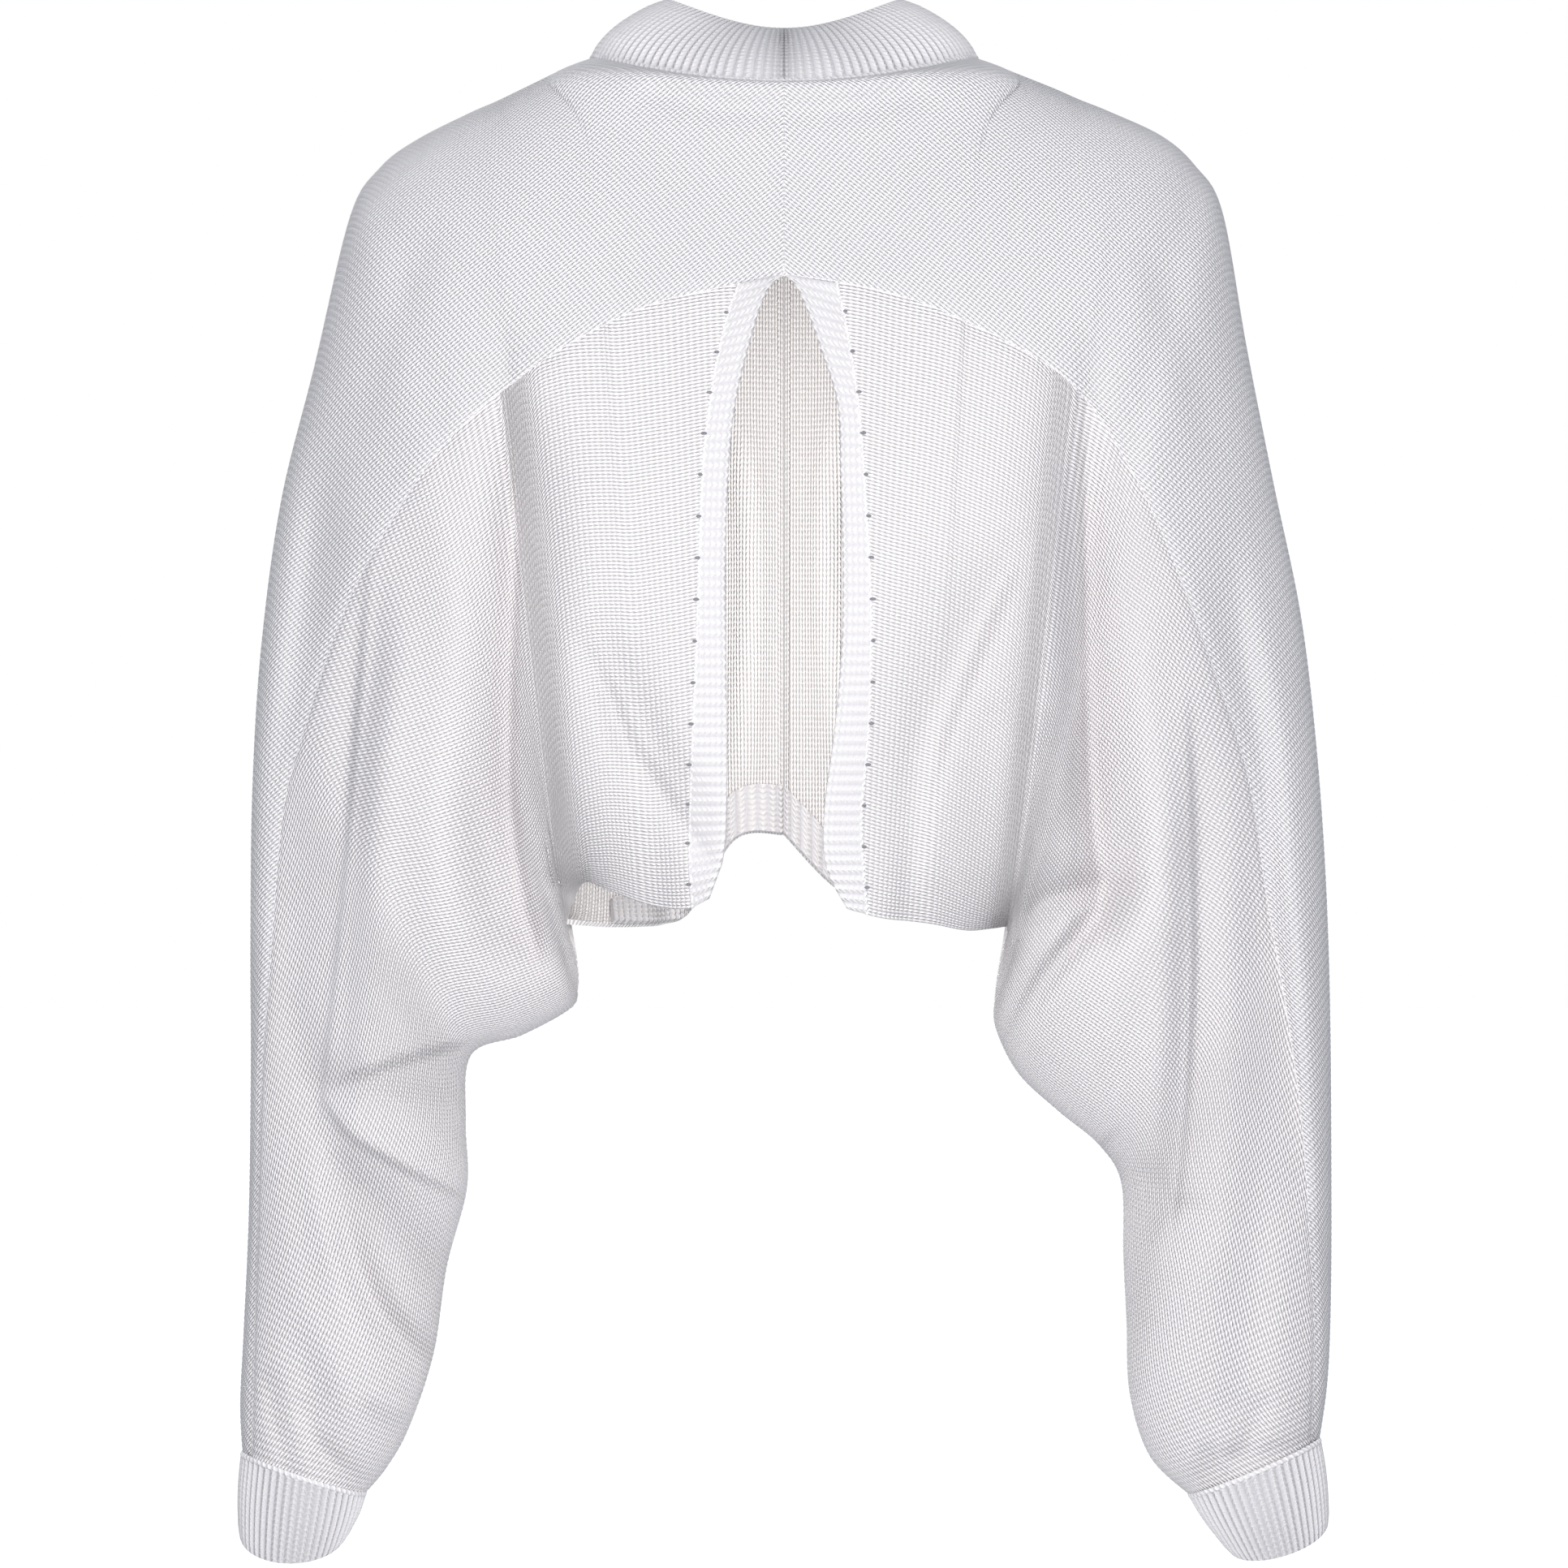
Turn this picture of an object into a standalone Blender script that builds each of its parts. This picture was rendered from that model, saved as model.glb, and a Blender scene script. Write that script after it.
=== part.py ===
"""Batwing sweater, worn shape with no wearer: a cropped, chunky knit seen best from the back.

Metres, +Z up. The wearer faces -Y and the wearer's left arm is at +X. The origin is the middle
of the neck seam at the height of the shoulder points, where the wearer's shoulders carry it.
"""
from collections import namedtuple

import bmesh
import bpy
import numpy as np

MM = 0.001

# Driving dimensions, in millimetres
WALL = 2.4              # knit fabric thickness
SEAM_GAP = 0.3          # clear space between neighbouring pieces
NECK_CLEAR = 2.2 * SEAM_GAP   # from the neck seam to a panel's top edge
SIDE_CLEAR = 0.55 * SEAM_GAP  # from the overarm or underarm line to a panel's edge
ARC_CLEAR = 0.6 * SEAM_GAP    # from the arc seam to the panels on either side
SLIT_CLEAR = 1.2 * SEAM_GAP   # from a back panel's edge to the slit band
CUFF_CLEAR = 1.6 * SEAM_GAP   # from a sleeve's end to the cuff
NECK_WIDTH = 170.0      # across the neck seam
NECK_BACK = 72.0        # neck seam, depth behind the shoulder line
NECK_FRONT = 74.0       # neck seam, depth before the shoulder line
NECK_DROP_BACK = 15.8   # how far the seam dips at the centre back
NECK_DROP_FRONT = 50.0  # how far the seam dips at the centre front
NECK_SIDE_Z = 1.0       # height of the neck seam over the shoulders
BAND_RISE = 26.0        # neckband, height gained over its width
BAND_LEAN = 33.0        # neckband, how far its top edge leans in
BAND_START = 0.018      # share of the neckband's width that its seam gap takes
BAND_BEND_LEAN = 0.17   # share of the lean at the bend of the neckband's profile
BAND_BEND_RISE = 0.56   # share of the rise at that bend
BAND_RIBS = 100
BAND_WALL = 2.0
RIB_RAISE = 0.9         # height of a rib over the wall
CUFF_RIBS = 42
SLIT_RIBS = 62
CUFF_BELLY = 0.04       # how much wider a cuff is at its middle
HEM_BAND_HEIGHT = 25.0
HEM_BACK_LENGTH = 90.0
HEM_FRONT_LENGTH = 100.0  # half of the front's hem band
HEM_TURN = 0.75         # share of v for each share of a section's length, close to the hem
HEM_RIB = 4.4           # pitch of the ribs along the hem bands
HEM_CLEAR = 0.95        # between a hem band and the wall it is turned up against
HEM_INSET = 2 * WALL + HEM_CLEAR

# How many points the panels' grids and the routes have
CENTRE_COLUMNS = 4
NECK_COLUMNS = 8
SLEEVE_COLUMNS = 24
YOKE_ROWS = 8
PANEL_ROWS = 18
FRONT_ROWS = 12
ROUTE_STEPS = 8         # straight steps between two points of a fold's route
ARC_STEPS = 12          # straight steps for each point of the arc seam
SEARCH_ROUNDS = 8

# One row for each section, from the centre line out to the wrist. A section runs from the
# overarm line, which is the garment's outline, to the hem or the underarm line. The first four
# start on the neck seam instead, at the turns given below: their over_x and over_z only show it.
Section = namedtuple("Section", "over_x over_z end_x end_z mid_y back front power")
LEFT_SECTIONS = [
    Section(0.0, -14.8, 0.0, -372, 0, 104, -92, 0.62),
    Section(30.5, -12.8, 22.0, -372, 0, 104, -92, 0.62),
    Section(58.0, -7.5, 42.0, -375, 0, 103, -91, 0.62),
    Section(78.2, -1.4, 54.0, -374.5, 0, 102, -90, 0.62),
    Section(85.0, 1.0, 64.0, -372, 0, 101, -89, 0.62),
    Section(110, -11, 78.0, -367, 0, 100, -88, 0.62),
    Section(125, -18, 89.0, -365, 0, 98, -86, 0.63),
    Section(139, -24, 96.5, -383, 0, 96, -84, 0.65),
    Section(163, -36, 93.0, -394, 0, 92, -80, 0.68),
    Section(179, -48, 91.5, -403, -1, 88, -77, 0.71),
    Section(192, -69, 91.5, -411, -1, 84, -74, 0.74),
    Section(208, -135, 94.5, -420, -2, 75, -68, 0.79),
    Section(223, -195, 116, -432, -3, 66, -62, 0.84),
    Section(232, -260, 139, -441, -5, 58, -56, 0.88),
    Section(236, -322, 141.5, -471, -7, 52, -52, 0.92),
    Section(237, -388, 141, -500, -9, 47, -48, 0.95),
    Section(237, -447, 150, -535, -11, 43, -45, 1.00),
    Section(238, -512, 156, -574, -13, 38, -41, 1.00),
    Section(240.5, -566, 167, -607, -15, 33, -36, 1.00),
    Section(242, -597, 177, -625, -16, 29, -31, 1.00),
    Section(241, -619, 187, -637, -17, 26, -26, 1.00),
]
RIGHT_SECTIONS = [
    Section(0.0, -14.8, 0.0, -372, 0, 104, -92, 0.62),
    Section(30.5, -12.8, 22.0, -374, 0, 104, -92, 0.62),
    Section(58.0, -7.5, 42.0, -379, 0, 103, -91, 0.62),
    Section(78.2, -1.4, 54.0, -380.5, 0, 102, -90, 0.62),
    Section(85.0, 1.0, 65.0, -382, 0, 101, -89, 0.62),
    Section(112, -10, 80.0, -385, 0, 100, -88, 0.62),
    Section(128, -17, 91.0, -384.5, 0, 98, -86, 0.63),
    Section(143, -23, 98.5, -384, 0, 96, -84, 0.65),
    Section(167, -34, 97.0, -394, 0, 92, -80, 0.68),
    Section(182, -47, 95.0, -405, -1, 88, -77, 0.71),
    Section(194, -67, 93.6, -416, -1, 84, -74, 0.74),
    Section(205, -127, 94.0, -429, -2, 75, -68, 0.79),
    Section(217, -187, 104, -449, -3, 66, -62, 0.84),
    Section(229, -244, 122, -466, -5, 59, -57, 0.88),
    Section(236, -300, 140, -481, -7, 54, -53, 0.92),
    Section(240.5, -360, 150, -498, -9, 49, -49, 0.95),
    Section(242.7, -420, 151, -530, -11, 45, -46, 1.00),
    Section(243.4, -485, 152.5, -560, -13, 41, -43, 1.00),
    Section(243.4, -545, 154, -592, -15, 36, -38, 1.00),
    Section(242, -585, 163, -620, -16, 30, -32, 1.00),
    Section(238.3, -613, 181, -637.6, -17, 26, -26, 1.00),
]
NECK_TURN = [90, 69, 47, 23, 0]  # degrees round the neck seam at which the first sections start
NECK_SECTION = 4        # the section at the shoulder end of the neck seam
HEM_SECTION = 7         # the section at the side end of the hem
CENTRE_START = 0.006    # section at which the pieces start beside the centre seam
SLIT_GUESS = 1.3        # section from which the search for the slit's edge starts
HEM_BACK_STOP = HEM_SECTION - 1.6   # section at which the back's hem bands end
HEM_FRONT_STOP = HEM_SECTION - 2.6  # section at which the front's hem band ends
CENTRE_BLEND = 0.6      # sections over which the walls square up to the centre seam
EDGE_BLEND = 0.03       # share of a section over which the walls square up to a side seam
NECK_SPREAD = [0, 14, 34, 58, 66, 36, 14, 3, 0]  # how the first sections fan out from the neck
SPREAD_FADE = 0.04      # share of a section over which that fan ends
SHOULDER_SLOPE = 0.45   # how much the shoulder falls for each millimetre outwards
SLOPE_START = 1.5       # section at which that fall starts
SLOPE_RAMP = 2.0        # sections over which it comes in
NECK_FADE = 0.12        # share of a section over which the neck's roundness ends
STEP_ALONG = 0.02       # small steps from which the cloth's direction is measured
STEP_ACROSS = 0.004

# Where the hem lies in depth, and how the front hem's height differs, for the first sections
Hem = namedtuple("Hem", "back_y front_y front_z")
LEFT_HEM = [Hem(92, -82, -344), Hem(89, -80, -351), Hem(81, -73, -378), Hem(69, -64, -384),
            Hem(61, -57, -385), Hem(48, -45, -385), Hem(30, -28, -384), Hem(0, 0, -383)]
RIGHT_HEM = [Hem(92, -82, -344), Hem(89, -80, -367), Hem(81, -73, -376), Hem(69, -64, -379),
             Hem(61, -57, -381), Hem(48, -45, -382), Hem(30, -28, -383), Hem(0, 0, -384)]

# Seam between the upper back and the lower back, across the back and down the outer sleeve
LEFT_ARC = [(0, -99.6), (21, -104), (58, -113), (93, -130), (121.5, -149.6), (150, -175.6),
            (175.5, -212), (196, -251), (212, -297), (220, -324), (224, -354), (228, -405),
            (231.5, -441), (233.5, -500), (235.5, -560), (237, -617)]
RIGHT_ARC = [(0, -99.6), (25, -103), (58, -111.5), (93, -127), (121.5, -144), (137, -161.6),
             (150, -182.5), (163, -207), (176, -237), (189, -270.5), (201, -304), (208, -333),
             (213, -369), (222, -423), (229.5, -477), (234, -531), (236, -567), (235, -611)]

# The drop-shaped slit: the inner and outer edge of each ribbed band, from its top to the hem
SlitRow = namedtuple("SlitRow", "in_x in_z out_x out_z")
LEFT_SLIT = [SlitRow(0.3, -101.2, 19.3, -105), SlitRow(7.7, -107.5, 23, -113),
             SlitRow(15.2, -131, 28.2, -134), SlitRow(21.1, -157, 32.3, -158),
             SlitRow(24.0, -187, 35.2, -187), SlitRow(25.3, -228, 36.6, -228),
             SlitRow(25.0, -263, 37.8, -263), SlitRow(24.9, -298, 39.4, -298),
             SlitRow(25.3, -333, 40.8, -333), SlitRow(27.0, -353, 40.8, -355),
             SlitRow(33.0, -371, 39.8, -374.6)]
RIGHT_SLIT = [SlitRow(0.3, -101.2, 22.8, -105), SlitRow(6.7, -107.5, 25, -113),
              SlitRow(15.5, -131, 28.8, -134), SlitRow(23.2, -157, 32.3, -158),
              SlitRow(24.4, -187, 34.5, -187), SlitRow(25.3, -228, 37.0, -228),
              SlitRow(24.8, -263, 37.6, -263), SlitRow(22.0, -298, 36.6, -298),
              SlitRow(17.6, -333, 33.6, -333), SlitRow(18.5, -357, 34.4, -357),
              SlitRow(28.1, -376, 36.2, -377.5)]

# One row for each large fold: its height (below zero a trough), the reach of its slope on the
# sleeve side of a route that runs down, the reach of its other slope, and its route
Fold = namedtuple("Fold", "height out_reach in_reach route")
FOLD_SWELL = 0.3        # share of a route over which a fold swells from its start
FOLD_PAST = 22.0        # reach of a fold past the ends of its route
FOLD_END = 0.6          # share of its height that a fold keeps at its end
FOLD_BELL = 1.6         # how fast a fold fades with the square of its distance over its reach
LEFT_BACK_FOLDS = [
    Fold(-15, 22, 24, [(109, -150), (113, -192), (116, -245), (118, -297), (116, -343), (110, -377)]),
    Fold(7, 22, 22, [(140, -185), (141, -260), (147, -330), (150, -385), (143, -425)]),
    Fold(-15, 32, 12, [(179, -215), (181, -262), (188, -315), (192, -368), (195, -422), (197, -452)]),
    Fold(-15, 12, 14, [(132, -463), (160, -463), (197, -455)]),
    Fold(-9, 12, 20, [(204, -140), (208, -208), (214, -261), (222, -315), (226, -369)]),
    Fold(-12, 12, 14, [(222, -400), (207, -458), (195, -501), (185, -541), (171, -569), (158, -583)]),
    Fold(6, 12, 12, [(226, -450), (222, -500), (212, -550), (196, -590)]),
    Fold(-6, 26, 12, [(88, -245), (61, -297), (40, -336)]),
    Fold(-7, 14, 14, [(135, -297), (131, -350), (121, -382), (98, -401)]),
    Fold(-3, 6, 8, [(212, -608), (200, -622), (188, -630)]),
]
RIGHT_BACK_FOLDS = [
    Fold(-16, 28, 12, [(125, -145), (128, -209), (130, -280), (133, -333), (136, -366)]),
    Fold(-8, 11, 20, [(97, -384), (116, -369), (137, -365)]),
    Fold(-7, 12, 14, [(148, -325), (146, -361), (134, -383), (112, -401), (98, -419)]),
    Fold(-15, 24, 12, [(178, -280), (180, -350), (179, -404), (177, -450), (172, -504)]),
    Fold(-8, 11, 20, [(138, -480), (149, -489), (172, -507)]),
    Fold(-10, 10, 18, [(195, -200), (199, -254), (210, -308), (214, -362), (221, -423), (227, -495)]),
    Fold(-8, 14, 12, [(172, -500), (166, -542), (160, -583)]),
    Fold(5, 14, 14, [(152, -230), (156, -300), (156, -370), (142, -430)]),
    Fold(-6, 14, 28, [(104, -206), (82, -248), (61, -290), (47, -333)]),
    Fold(-4, 16, 16, [(88, -280), (88, -360)]),
    Fold(-3, 8, 7, [(196, -621), (183, -629)]),
]
LEFT_FRONT_FOLDS = [
    Fold(-14, 26, 20, [(120, -150), (112, -220), (110, -290), (106, -350), (100, -385)]),
    Fold(-12, 26, 10, [(172, -190), (176, -270), (182, -340), (186, -420)]),
    Fold(-9, 16, 18, [(212, -330), (206, -420), (196, -500), (178, -570)]),
    Fold(-6, 22, 18, [(60, -90), (84, -160), (98, -240)]),
]
RIGHT_FRONT_FOLDS = [
    Fold(-15, 26, 20, [(126, -140), (119, -210), (114, -280), (108, -340), (101, -388)]),
    Fold(-11, 24, 12, [(176, -210), (181, -290), (183, -360), (180, -440)]),
    Fold(-9, 16, 18, [(216, -340), (208, -430), (194, -520), (176, -590)]),
    Fold(-6, 20, 18, [(58, -86), (82, -150), (97, -230)]),
]

# Lower edge of each cuff: its outer and inner end, how far the near side dips, and its depth
CuffEdge = namedtuple("CuffEdge", "over_x over_z end_x end_z dip depth")
LEFT_CUFF = CuffEdge(242.0, -655, 195.5, -655, 11, 24)
RIGHT_CUFF = CuffEdge(242.0, -650, 199.0, -662, 7, 24)

KNIT_ROUGHNESS = 0.9
SHARP_ANGLE = 50        # degrees over which an edge stays sharp

BACK = 1
FRONT = -1
Side = namedtuple("Side", "sign sections hem arc slit back_folds front_folds cuff")
LEFT = Side(1, LEFT_SECTIONS, LEFT_HEM, LEFT_ARC, LEFT_SLIT, LEFT_BACK_FOLDS, LEFT_FRONT_FOLDS, LEFT_CUFF)
RIGHT = Side(-1, RIGHT_SECTIONS, RIGHT_HEM, RIGHT_ARC, RIGHT_SLIT, RIGHT_BACK_FOLDS,
             RIGHT_FRONT_FOLDS, RIGHT_CUFF)
LAST = len(LEFT_SECTIONS) - 1


def smooth(values, u):
    """Reads a smooth curve through evenly spaced values at u, from 0 to the last value."""
    points = np.asarray(values, float)
    last = len(points) - 1
    u = np.clip(np.asarray(u, float), 0, last)
    i = np.minimum(u.astype(int), last - 1)
    t = u - i
    if points.ndim > 1:
        t = t[..., None]
    before = points[np.maximum(i - 1, 0)]
    here = points[i]
    there = points[i + 1]
    after = points[np.minimum(i + 2, last)]
    bend = 2 * before - 5 * here + 4 * there - after
    twist = 3 * (here - there) + after - before
    return here + 0.5 * t * ((there - before) + t * (bend + t * twist))


def neck_seam(face, u):
    """Place of the neck seam at the first sections: across, in depth, and in height."""
    turn = np.radians(smooth(NECK_TURN, u))
    reach, drop = (NECK_BACK, NECK_DROP_BACK) if face == BACK else (-NECK_FRONT, NECK_DROP_FRONT)
    return NECK_WIDTH / 2 * np.cos(turn), reach * np.sin(turn), NECK_SIDE_Z - drop * np.sin(turn) ** 2


def part_smooth(own, shared, split, u):
    """Reads one face's own rows up to the split section, and the rows both faces share past it."""
    return np.where(u <= split, smooth(own[:split + 1], u), smooth(shared[split:], u - split))


def section_values(side, face, u):
    """Overarm point, end point, greatest depth and power of the section at u."""
    u = np.asarray(u, float)
    rows = side.sections
    mid_y = smooth([r.mid_y for r in rows], u)
    end_z = [r.end_z for r in rows]
    neck_x, _, neck_z = neck_seam(face, u)
    by_neck = u < NECK_SECTION
    past_neck = u - NECK_SECTION
    over_x = np.where(by_neck, neck_x, smooth([r.over_x for r in rows[NECK_SECTION:]], past_neck))
    over_z = np.where(by_neck, neck_z, smooth([r.over_z for r in rows[NECK_SECTION:]], past_neck))
    own_end_y = [h.back_y if face == BACK else h.front_y for h in side.hem]
    own_end_z = end_z if face == BACK else [h.front_z for h in side.hem]
    over = np.stack([over_x, mid_y, over_z], -1)
    end = np.stack([smooth([r.end_x for r in rows], u),
                    part_smooth(own_end_y, [r.mid_y for r in rows], HEM_SECTION, u),
                    part_smooth(own_end_z, end_z, HEM_SECTION, u)], -1)
    deep = smooth([r.mid_y + (r.back if face == BACK else r.front) for r in rows], u)
    power = smooth([r.power for r in rows], u)
    return over, end, deep, power


def neck_offset(face, u):
    """How far the neck seam stands off the shoulder line in depth, none past the shoulder."""
    return np.where(np.asarray(u) < NECK_SECTION, neck_seam(face, u)[1], 0)


def end_angle(over, end, deep, power):
    """Angle round the section at which its depth has come back to the end point's depth."""
    share = np.clip((end[..., 1] - over[..., 1]) / (deep - over[..., 1]), 0, 1)
    return np.pi - np.arcsin(share ** (1 / power))


def fold_relief(folds, x, z):
    """Sum of the folds' heights at points of the back or front view."""
    spots = np.stack([x.ravel(), z.ravel()], -1)[:, None, :]
    rows = np.arange(spots.shape[0])
    total = np.zeros(len(rows))
    for fold in folds:
        count = ROUTE_STEPS * (len(fold.route) - 1)
        route = smooth(fold.route, np.linspace(0, len(fold.route) - 1, count + 1))
        step = np.diff(route, axis=0)
        away = spots - route[None, :-1]
        mix = np.clip((away * step).sum(-1) / (step ** 2).sum(-1), 0, 1)
        offset = away - mix[..., None] * step
        near = np.argmin((offset ** 2).sum(-1), axis=1)
        way = step[near] / np.linalg.norm(step[near], axis=1)[:, None]
        offset = offset[rows, near]
        side_way = way[:, 0] * offset[:, 1] - way[:, 1] * offset[:, 0]
        past = (way * offset).sum(-1)
        reach = np.where(side_way > 0, fold.out_reach, fold.in_reach)
        distance = (side_way / reach) ** 2 + (past / FOLD_PAST) ** 2
        share = (near + mix[rows, near]) / count
        swell = np.clip(share / FOLD_SWELL, 0, 1)
        swell = swell * swell * (3 - 2 * swell)
        fade = np.clip((1 - share) / FOLD_SWELL, 0, 1)
        fade = FOLD_END + (1 - FOLD_END) * fade * fade * (3 - 2 * fade)
        total += fold.height * swell * fade * np.exp(-FOLD_BELL * distance)
    return total.reshape(x.shape)


def surface(side, face, u, v):
    """Outer face of the cloth: u runs from the centre to the wrist, v from overarm to hem."""
    u, v = np.broadcast_arrays(np.asarray(u, float), np.asarray(v, float))
    over, end, deep, power = section_values(side, face, u)
    last_angle = end_angle(over, end, deep, power)
    angle = np.clip(v, 0, 1) * last_angle
    share = (1 - np.cos(angle)) / (1 - np.cos(last_angle))
    x = over[..., 0] + (end[..., 0] - over[..., 0]) * share
    z = over[..., 2] + (end[..., 2] - over[..., 2]) * share
    round_out = np.clip(np.sin(angle), 0, 1) ** power
    spread = smooth(NECK_SPREAD, u) * round_out * np.exp(-share / SPREAD_FADE)
    x = x + spread
    z = z - SHOULDER_SLOPE * spread * np.clip((u - SLOPE_START) / SLOPE_RAMP, 0, 1)
    y = over[..., 1] + (deep - over[..., 1]) * round_out
    y = y + neck_offset(face, u) * (1 - round_out) * np.exp(-share / NECK_FADE)
    folds = side.back_folds if face == BACK else side.front_folds
    y = y + face * fold_relief(folds, x, z) * round_out * (2 - round_out)
    return np.stack([side.sign * x, y, z], -1)


def surface_normal(side, face, u, v):
    """Outward direction of the cloth, squared up where a wall meets its neighbour's."""
    u = np.asarray(u, float)
    v = np.asarray(v, float)
    u_low = np.clip(u - STEP_ALONG, 0, LAST)
    u_high = np.clip(u + STEP_ALONG, 0, LAST)
    v_low = np.clip(v - STEP_ACROSS, 0, 1)
    v_high = np.clip(v + STEP_ACROSS, 0, 1)
    along = surface(side, face, u_high, v) - surface(side, face, u_low, v)
    across = surface(side, face, u, v_high) - surface(side, face, u, v_low)
    normal = np.cross(along, across) * side.sign * face
    normal[..., 0] *= np.clip(u / CENTRE_BLEND, 0, 1)
    by_shoulder = np.where(u > NECK_SECTION, v, 1)
    by_underarm = np.where(u > HEM_SECTION, 1 - v, 1)
    normal[..., 1] *= np.clip(np.minimum(by_shoulder, by_underarm) / EDGE_BLEND, 0, 1)
    return normal / np.linalg.norm(normal, axis=-1)[..., None]


def top_share(side, face, u):
    """The v at which a piece starts, clear of the overarm line or of the neckband."""
    over, end, deep, power = section_values(side, face, u)
    clear = np.interp(u, [NECK_SECTION - 1, NECK_SECTION], [NECK_CLEAR, SIDE_CLEAR])
    room = clear / np.abs(deep - over[..., 1] - neck_offset(face, u))
    return np.arcsin(room ** (1 / power)) / end_angle(over, end, deep, power)


def end_share(side, face, u):
    """The v at which a piece ends, just clear of the underarm line."""
    over, end, deep, power = section_values(side, face, u)
    last = end_angle(over, end, deep, power)
    room = SIDE_CLEAR / np.abs(deep - over[..., 1])
    return np.minimum(1.0, (np.pi - np.arcsin(room ** (1 / power))) / last)


def share_to_v(side, u, share):
    """The v of a point that lies at a share of the way from overarm to end in the back view."""
    last = end_angle(*section_values(side, BACK, u))
    return np.arccos(np.clip(1 - share * (1 - np.cos(last)), -1, 1)) / last


def arc_share(side, u):
    """Share of the way along section u at which the arc seam crosses it."""
    arc = smooth(side.arc, np.linspace(0, len(side.arc) - 1, ARC_STEPS * len(side.arc)))
    over, end, _, _ = section_values(side, BACK, u)
    shares = []
    for high, low in zip(over[:, ::2], end[:, ::2]):
        way = low - high
        off = arc - high
        cross = way[0] * off[:, 1] - way[1] * off[:, 0]
        spot = np.flatnonzero(np.diff(np.sign(cross)) != 0)
        if len(spot) == 0:
            spot = [int(np.argmin(np.abs(cross[:-1])))]
        k = spot[0]
        mix = cross[k] / (cross[k] - cross[k + 1] + 1e-12)
        point = off[k] + (off[k + 1] - off[k]) * np.clip(mix, 0, 1)
        shares.append(np.clip(point @ way / (way @ way), 0.02, 0.9))
    return np.array(shares)


def locate(side, x, z):
    """Section and v of back points near the middle, given by their place in the back view."""
    us = np.linspace(0, HEM_SECTION - 1, 121)
    over, end, _, _ = section_values(side, BACK, us)
    found = []
    for px, pz in zip(np.ravel(x), np.ravel(z)):
        share = pz / side.sections[0].end_z
        for _ in range(SEARCH_ROUNDS):
            row_x = over[:, 0] + (end[:, 0] - over[:, 0]) * share
            u = np.interp(px, row_x, us)
            low = np.interp(u, us, end[:, 2])
            high = np.interp(u, us, over[:, 2])
            share = np.clip((pz - high) / (low - high), 0, 1)
        found.append((u, share))
    found = np.array(found)
    u = found[:, 0].reshape(np.shape(x))
    share = found[:, 1].reshape(np.shape(x))
    return u, share_to_v(side, u, share)


def grid_indexes(start, rows, columns):
    return start + np.arange(rows * columns).reshape(rows, columns)


def sheet_faces(grid, closed):
    """Quads of a grid of point numbers, joined round when it is closed."""
    if closed:
        grid = np.concatenate([grid, grid[:, :1]], axis=1)
    a, b, c, d = grid[:-1, :-1], grid[1:, :-1], grid[1:, 1:], grid[:-1, 1:]
    return np.stack([a, b, c, d], -1).reshape(-1, 4).tolist()


def zip_faces(first, second):
    """Triangles that join two rows of points, which may differ in number."""
    faces = []
    i = 0
    j = 0
    last_i = len(first) - 1
    last_j = len(second) - 1
    while i < last_i or j < last_j:
        step_first = j == last_j or (i < last_i and (i + 1) * last_j <= (j + 1) * last_i)
        if step_first:
            faces.append((first[i], first[i + 1], second[j]))
            i += 1
        else:
            faces.append((first[i], second[j + 1], second[j]))
            j += 1
    return faces


def add_wall(name, outer, inner, material, closed=False):
    """Makes a closed cloth wall between an outer and an inner grid of points, in millimetres."""
    outer_ids = grid_indexes(0, *outer.shape[:2])
    inner_ids = grid_indexes(outer_ids.size, *inner.shape[:2])
    faces = sheet_faces(outer_ids, closed) + sheet_faces(inner_ids[:, ::-1], closed)
    pairs = [(outer_ids[0], inner_ids[0]), (outer_ids[-1], inner_ids[-1])]
    if closed:
        pairs = [(np.append(a, a[0]), np.append(b, b[0])) for a, b in pairs]
    else:
        pairs += [(outer_ids[:, 0], inner_ids[:, 0]), (outer_ids[:, -1], inner_ids[:, -1])]
    for a, b in pairs:
        faces += zip_faces(a.tolist(), b.tolist())
    points = np.concatenate([outer.reshape(-1, 3), inner.reshape(-1, 3)]) * MM
    mesh = bpy.data.meshes.new(name)
    mesh.from_pydata(points.tolist(), [], faces)
    shape = bmesh.new()
    shape.from_mesh(mesh)
    bmesh.ops.triangulate(shape, faces=shape.faces)
    bmesh.ops.recalc_face_normals(shape, faces=shape.faces)
    shape.to_mesh(mesh)
    shape.free()
    mesh.shade_smooth()
    mesh.set_sharp_from_angle(angle=np.radians(SHARP_ANGLE))
    mesh.materials.append(material)
    thing = bpy.data.objects.new(name, mesh)
    bpy.context.scene.collection.objects.link(thing)
    return thing


def add_cloth(name, side, face, u, v, material):
    """Makes a panel from a grid of places on the cloth, one wall thick."""
    outer = surface(side, face, u, v)
    inner = outer - WALL * surface_normal(side, face, u, v)
    return add_wall(name, outer, inner, material)


def knit_material(name, colour):
    """Makes a plain matt finish in the colour of the yarn."""
    material = bpy.data.materials.new(name)
    material.use_nodes = True
    shader = material.node_tree.nodes["Principled BSDF"]
    shader.inputs["Base Color"].default_value = (*colour, 1)
    shader.inputs["Roughness"].default_value = KNIT_ROUGHNESS
    shader.inputs["Metallic"].default_value = 0
    return material


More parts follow.
